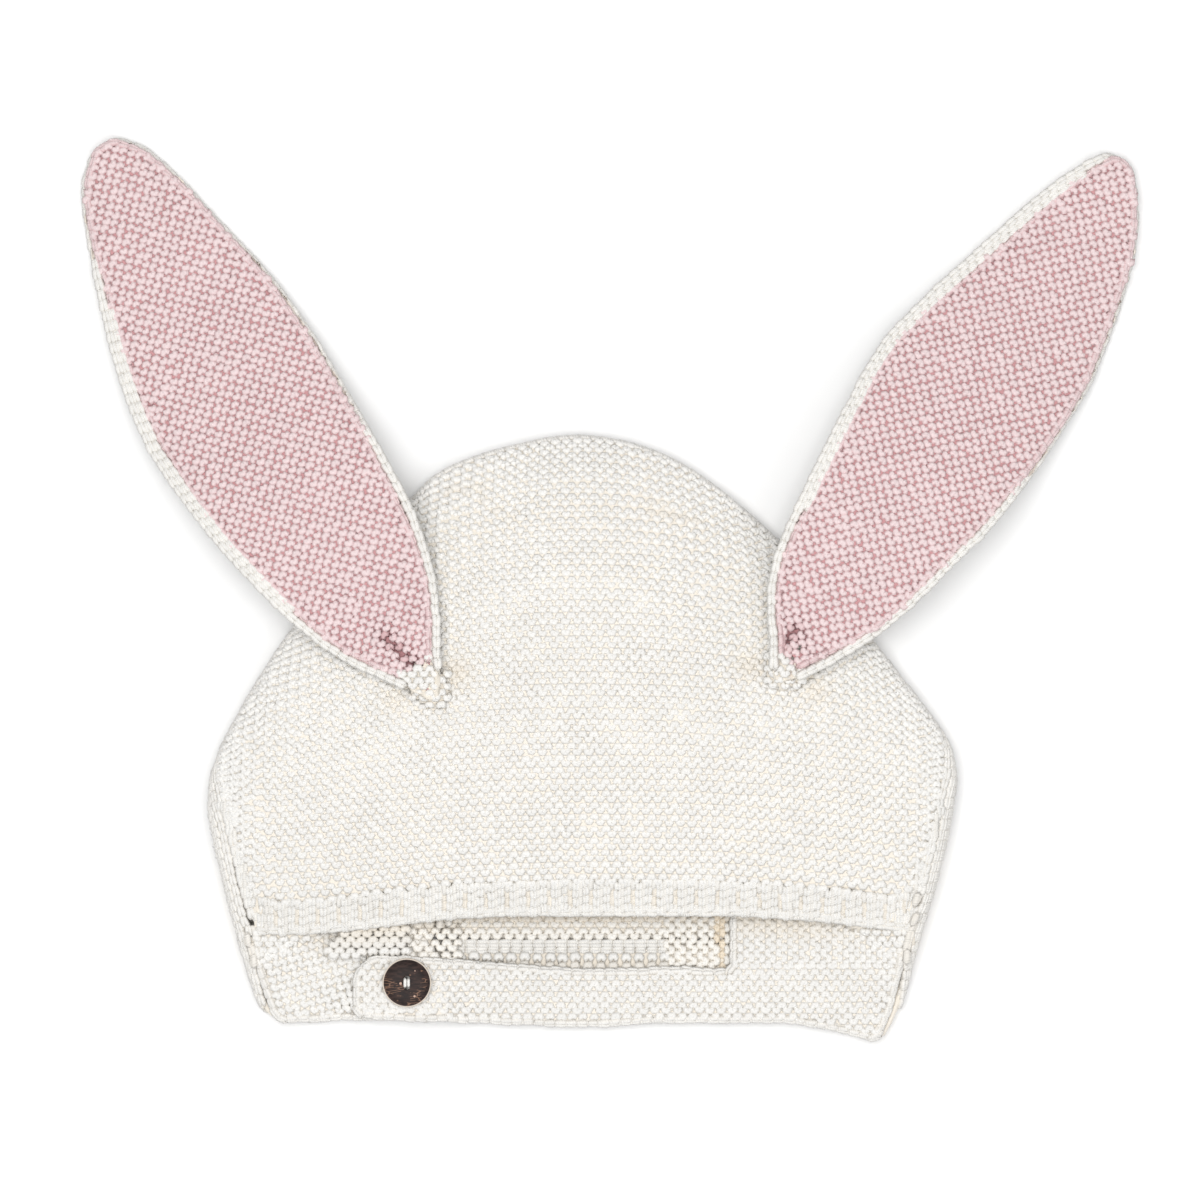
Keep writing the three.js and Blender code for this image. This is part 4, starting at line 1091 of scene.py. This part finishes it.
for name, ear in EARS.items():
    turn = math.radians(ear["turn"])
    axis = np.array([math.cos(turn), math.sin(turn)])
    cross = np.array([axis[1], -axis[0]])
    base = np.array(ear["base"]) * MM
    length = ear["length"] * MM
    face_node, back_node = f"ear_{name}_face", f"ear_{name}_back"
    face_slab, back_slab = Slab(face_node), Slab(back_node)
    face_relief = Relief([face_node], step=1.2 * MM, blur=1.6)
    lean = turn - math.pi / 2

    def crease(x, y, wide=0.35, deep=1.6):
        """How far the fold at the ear's foot presses the cloth in: it narrows towards the foot."""
        away, t = from_line(x, y, ear["crease"])
        length_wise = 0.7 + 0.3 * np.sin(math.pi * t**0.7)
        return deep * MM * length_wise * np.exp(-((away / ((wide + 0.7 * (1 - t)) * MM)) ** 2))

    def past_end(x, y):
        """How far places lie up the ear from where its pink side ends."""
        p = np.stack([x, y], 1) - base
        return p @ axis - ear["pink_end"] * MM - 0.06 * (p @ cross) ** 2 / MM

    def face_at(x, y):
        return along_z(np.stack([x, y], 1), face_relief.at(x, y) - crease(x, y))

    def on_pink(x, y):
        apart = from_line(x, y, ear["crease"])[0] > ear["gap"] * MM
        return (face_slab.depth(x, y) > 0.6 * MM) & (past_end(x, y) > 0.6 * MM) & apart

    rows = []
    for k in range(-3, int(length / EAR_RIDGE) + 3):
        spot = base + (k + 0.5) * EAR_RIDGE * axis + np.arange(-13, 14)[:, None] * EAR_WALE * cross
        rows.append((spot[:, 0], spot[:, 1]))

    knit = Knit(f"ear_{name}_pink", "pink")
    # the fold's line takes painted shade as well as being pressed in
    garter(knit, rows, face_at, on_pink, lean, EAR_WALE, EAR_RIDGE, templates=LOOSE, turn=0.16,
           sunk=0.66 * MM, shade=lambda x, y: np.clip(crease(x, y) / (2.2 * MM), 0, 0.7))
    bind(knit, face_slab, keep=lambda x, y: past_end(x, y) > 0, low=True)
    cloth_under(knit, face_node, press=lambda x, y: crease(x, y, 1.5, 2.8)
                + 0.8 * MM * np.clip(-past_end(x, y) / (1.5 * MM), 0, 1))
    knit.finish(face_node)

    knit = Knit(f"ear_{name}_white", "cream")
    rim_width = np.maximum(face_slab.depth(back_slab.line[:, 0], back_slab.line[:, 1]) * -1, 0)
    rim_width = Rim._round(rim_width[:, None], 6)[:, 0]
    bind(knit, back_slab, keep=lambda x, y: past_end(x, y) > -3 * MM, under=True)
    wide_spots = back_slab.line[rim_width > 2.6 * MM]

    def on_wide(x, y):
        """Where the white rim is wide enough for one more chain."""
        if not len(wide_spots):
            return np.zeros(len(x), bool)
        p = np.stack([x, y], 1)
        return np.sqrt(((p[:, None] - wide_spots[None]) ** 2).sum(-1).min(1)) < 4 * MM

    edging(knit, *back_slab.run(2.9 * MM, 1.0, 85), keep=on_wide)
    below = Relief([back_node], step=1.5 * MM, blur=1.6, start=BELOW, way=UP)
    garter(knit, rows, lambda x, y: along_z(np.stack([x, y], 1), below.at(x, y)),
           lambda x, y: back_slab.depth(x, y) > 2.1 * MM, lean, EAR_WALE, EAR_RIDGE, PLAIN, flip=-1.0)

    # The white cloth that wraps round the base and joins it to the front
    blend = Relief([face_node, back_node, "front_panel"], step=1.5 * MM, blur=1.5)
    wrap = np.array(ear["wrap"]) * MM
    round_foot = [
        (wrap[0] + np.arange(-6, 7) * WALE, np.full(13, wrap[1] + (k + 0.3) * RIDGE)) for k in range(-4, 8)
    ]

    def on_wrap(x, y, limit):
        """On the foot, up to so many millimetres past where the pink side ends."""
        p = np.stack([x, y], 1) - base
        inside = back_slab.depth(x, y) > np.where(p @ axis < 1.5 * MM, -1.2, 0.8) * MM
        return (past_end(x, y) < limit * MM) & (p @ axis > -9 * MM) & inside

    garter(knit, round_foot, lambda x, y: along_z(np.stack([x, y], 1), blend.at(x, y)),
           lambda x, y: on_wrap(x, y, 0.9), sunk=0.0)
    pad(knit, blend, lambda x, y: on_wrap(x, y, 1.7), (*(wrap - 22 * MM), *(wrap + 22 * MM)), 0.5 * MM)
    cloth_under(knit, back_node)
    knit.finish(back_node)


# Flaps and strap
def on_strap_end(x):
    """Where the strap lies on the left flap, a layer above the hem."""
    return (x < -44 * MM) & (node == "right_flap_strap")


def flap_at(x, y):
    """Points on the flap's upper side, which follows the rolled edge save at the strap's end."""
    flat = along_z(np.stack([x, y], 1), relief.at(x, y))
    return np.where(on_strap_end(x)[:, None], flat, lower_rim.wrap(x, y, relief)[0])


def grid_rows(lean):
    """Rows at the flaps' gauge that lean by an angle, from the hem's middle out past both sides."""
    rows = []
    across = np.array([math.cos(lean), math.sin(lean)])
    up = np.array([-across[1], across[0]])
    reach = int(100 * MM / GAUGE)
    for k in range(-reach, reach + 1):
        spot = np.array(HEM_MIDDLE) + k * GAUGE * up + np.arange(-reach, reach + 1)[:, None] * GAUGE * across
        rows.append((spot[:, 0], spot[:, 1]))
    return rows


HEM_MIDDLE = (0, -70 * MM)
STRAP_TOP, RIGHT_FLAP_LEFT = -61.5 * MM, 39 * MM
for node, name, parts in (  # each flap's parts: how far their rows lean, in degrees, and where they lie
    ("left_flap", "left_flap_knit", ((-30, lambda x, y: x < 1),)),
    ("right_flap_strap", "right_flap_knit", (
        (0, lambda x, y: (y < STRAP_TOP) | (x < RIGHT_FLAP_LEFT)),
        (90, lambda x, y: (y >= STRAP_TOP) & (x >= RIGHT_FLAP_LEFT)),
    )),
):
    relief = Relief([node], step=1.2 * MM, blur=1.3)
    slab = Slab(node)
    knit = Knit(name, "cream")
    side = -1 if node == "left_flap" else 1
    joint = Relief([node, "brim_band"], step=1.2 * MM, blur=2.0)

    def under_brim(x, y):
        """The shade that the brim throws on the flap: it ends towards the side seams."""
        inward = np.clip((78 * MM - abs(x)) / (20 * MM), 0, 1)
        return np.clip(1 - (brim_line(x) - y) / (6.5 * MM), 0, 1) * inward

    def on_flap(x, y):
        """Well inside the flap, or on past its upper edge to where the brim hides it."""
        depth, brim = slab.depth(x, y), brim_line(x)
        hidden = (abs(x) > 46 * MM) & (y > brim - 7 * MM) & (depth > -9 * MM)
        on_top = on_strap_end(x) | (lower_rim.wrap(x, y, relief)[1] > 2.3 * MM)
        return ((depth > 1.5 * MM) | hidden) & (y < brim + 4 * MM) & on_top

    def on_edge(x, y):
        """Where the flap's edge shows and is bound."""
        return (y < brim_line(x) - 7 * MM) | ((x > 0) & (x < 46 * MM) & (y < brim_line(x) + 4 * MM))

    def on_joint(x, y, limit=-0.6, deep=1.9):
        """Where the flap's upper edge meets the brim, near the side seam: limit is how far past the brim's
        edge in millimetres, and deep how far in from the flap's."""
        deep = deep + np.clip(abs(x) / MM - 76, 0, 3)
        at_brim = (y < brim_line(x) + limit * MM) & (y > brim_line(x) - 9 * MM)
        on_top = rim.wrap(x, y, joint)[1] > 1 * MM
        return (side * x > 50 * MM) & at_brim & (slab.depth(x, y) < deep * MM) & on_top

    def at_flap_top(x, y):
        return on_flap(x, y) & (slab.depth(x, y) < 2.5 * MM) & (y > brim_line(x) - 8 * MM)

    for lean, part in parts:
        garter(knit, grid_rows(math.radians(lean)), flap_at,
               lambda x, y, part=part: part(x, y) & on_flap(x, y),
               math.radians(lean), GAUGE, GAUGE, shade=under_brim)
    bind(knit, slab, keep=on_edge, under=True, low=True)
    garter(knit, grid_rows(0.0), lambda x, y: rim.wrap(x, y, joint)[0], on_joint, 0.0, GAUGE, GAUGE)
    pad(knit, joint, lambda x, y: on_joint(x, y, 1.0, 2.2), side_box(side, 50, 92, -66, -44), 1.2 * MM)
    pad(knit, relief, at_flap_top, side_box(side, 46, 92, -66, -40), 1.0 * MM)
    cloth_under(knit, node)
    knit.finish(node)

# Button: a turned disc with a soft rim and two holes, and its thread
low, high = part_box("button")
middle = [(low[i] + high[i]) / 2 for i in (0, 1)]
radius, thick = (high[0] - low[0]) / 2, high[2] - low[2]
bpy.ops.mesh.primitive_cylinder_add(vertices=72, radius=radius, depth=thick,
                                    location=(*middle, (low[2] + high[2]) / 2))
button = bpy.context.object
button.name = "coconut_button"
bpy.ops.object.mode_set(mode="EDIT")
bpy.ops.mesh.select_all(action="DESELECT")
bm = bmesh.from_edit_mesh(button.data)
for face in bm.faces:
    face.select = len(face.verts) > 8 and face.normal.z > 0.5
bmesh.update_edit_mesh(button.data)
bpy.ops.mesh.inset(thickness=0.55 * MM, depth=0)
bpy.ops.mesh.inset(thickness=0.5 * MM, depth=-0.28 * MM)
bpy.ops.mesh.inset(thickness=2.6 * MM, depth=0.12 * MM)
bpy.ops.object.mode_set(mode="OBJECT")
for k, shift in enumerate((1.05, -1.05)):
    bpy.ops.mesh.primitive_cylinder_add(vertices=20, radius=0.85 * MM, depth=4 * thick,
                                        location=(middle[0], middle[1] + shift * MM, low[2]))
    drill = bpy.context.object
    hole = button.modifiers.new(f"hole {k}", "BOOLEAN")
    hole.operation, hole.object = "DIFFERENCE", drill
    with bpy.context.temp_override(object=button, active_object=button):
        bpy.ops.object.modifier_apply(modifier=hole.name)
    bpy.data.objects.remove(drill)
soft = button.modifiers.new("soft edges", "BEVEL")
soft.width, soft.segments, soft.limit_method = 0.25 * MM, 3, "ANGLE"
soft.angle_limit = math.radians(35)
bpy.ops.object.select_all(action="DESELECT")
button.select_set(True)
bpy.context.view_layer.objects.active = button
bpy.ops.object.transform_apply(location=True, rotation=True, scale=True)
bpy.ops.object.modifier_apply(modifier=soft.name)
bpy.ops.object.shade_smooth_by_angle(angle=math.radians(40))
button.data.materials.clear()
button.data.materials.append(coconut(middle, radius))
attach(button, "root")
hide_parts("button")

t = np.linspace(-1, 1, 11)
over_bridge = np.column_stack([np.zeros(11), 1.1 * MM * t, (0.45 - 1.5 * abs(t) ** 5) * MM])
strand = tube(over_bridge, np.full(11, 0.42 * MM), 8)
knit = Knit("button_stitches", "thread")
spots = np.array([(middle[0] + shift * MM, middle[1], high[2]) for shift in (-0.46, 0.46)])
knit.lay(strand, spots, [1, 0, 0], [0, 1, 0], [0, 0, 1], turn=0.04, stir=0.02 * MM)
knit.finish("button_thread")

# Floor, light and camera
floor_material = bpy.data.materials.new("pale floor")
floor_material.use_nodes = True
floor_shader = floor_material.node_tree.nodes["Principled BSDF"]
floor_shader.inputs["Base Color"].default_value = (0.93, 0.93, 0.93, 1)
floor_shader.inputs["Roughness"].default_value = 0.9
bpy.ops.mesh.primitive_plane_add(size=6, location=(0, 0, -0.2 * MM))
floor = bpy.context.object
floor.name = "floor"
floor.data.materials.append(floor_material)

world = bpy.data.worlds.new("studio")
world.use_nodes = True
world.node_tree.nodes["Background"].inputs[0].default_value = (1, 1, 1, 1)
world.node_tree.nodes["Background"].inputs[1].default_value = 0.47
bpy.context.scene.world = world


def softbox(name, place, size, power):
    light = bpy.data.lights.new(name, "AREA")
    light.size, light.energy = size, power
    lamp = bpy.data.objects.new(name, light)
    lamp.location = place
    lamp.rotation_euler = (-Vector(place)).to_track_quat("-Z", "Y").to_euler()
    bpy.context.scene.collection.objects.link(lamp)


softbox("key", (-0.16, 0.06, 1.6), 0.9, 17)
softbox("fill", (0.6, -0.5, 1.4), 1.0, 4.5)

camera_data = bpy.data.cameras.new("camera")
camera_data.lens, camera_data.sensor_width = LENS, SENSOR
camera_data.clip_start, camera_data.clip_end = 0.1, 20
camera = bpy.data.objects.new("camera", camera_data)
camera.location = (*FRAME_MIDDLE, FRAME_HEIGHT + FRAME_WIDTH * LENS / SENSOR)
bpy.context.scene.collection.objects.link(camera)
bpy.context.scene.camera = camera
bpy.context.scene.view_settings.view_transform = "Standard"
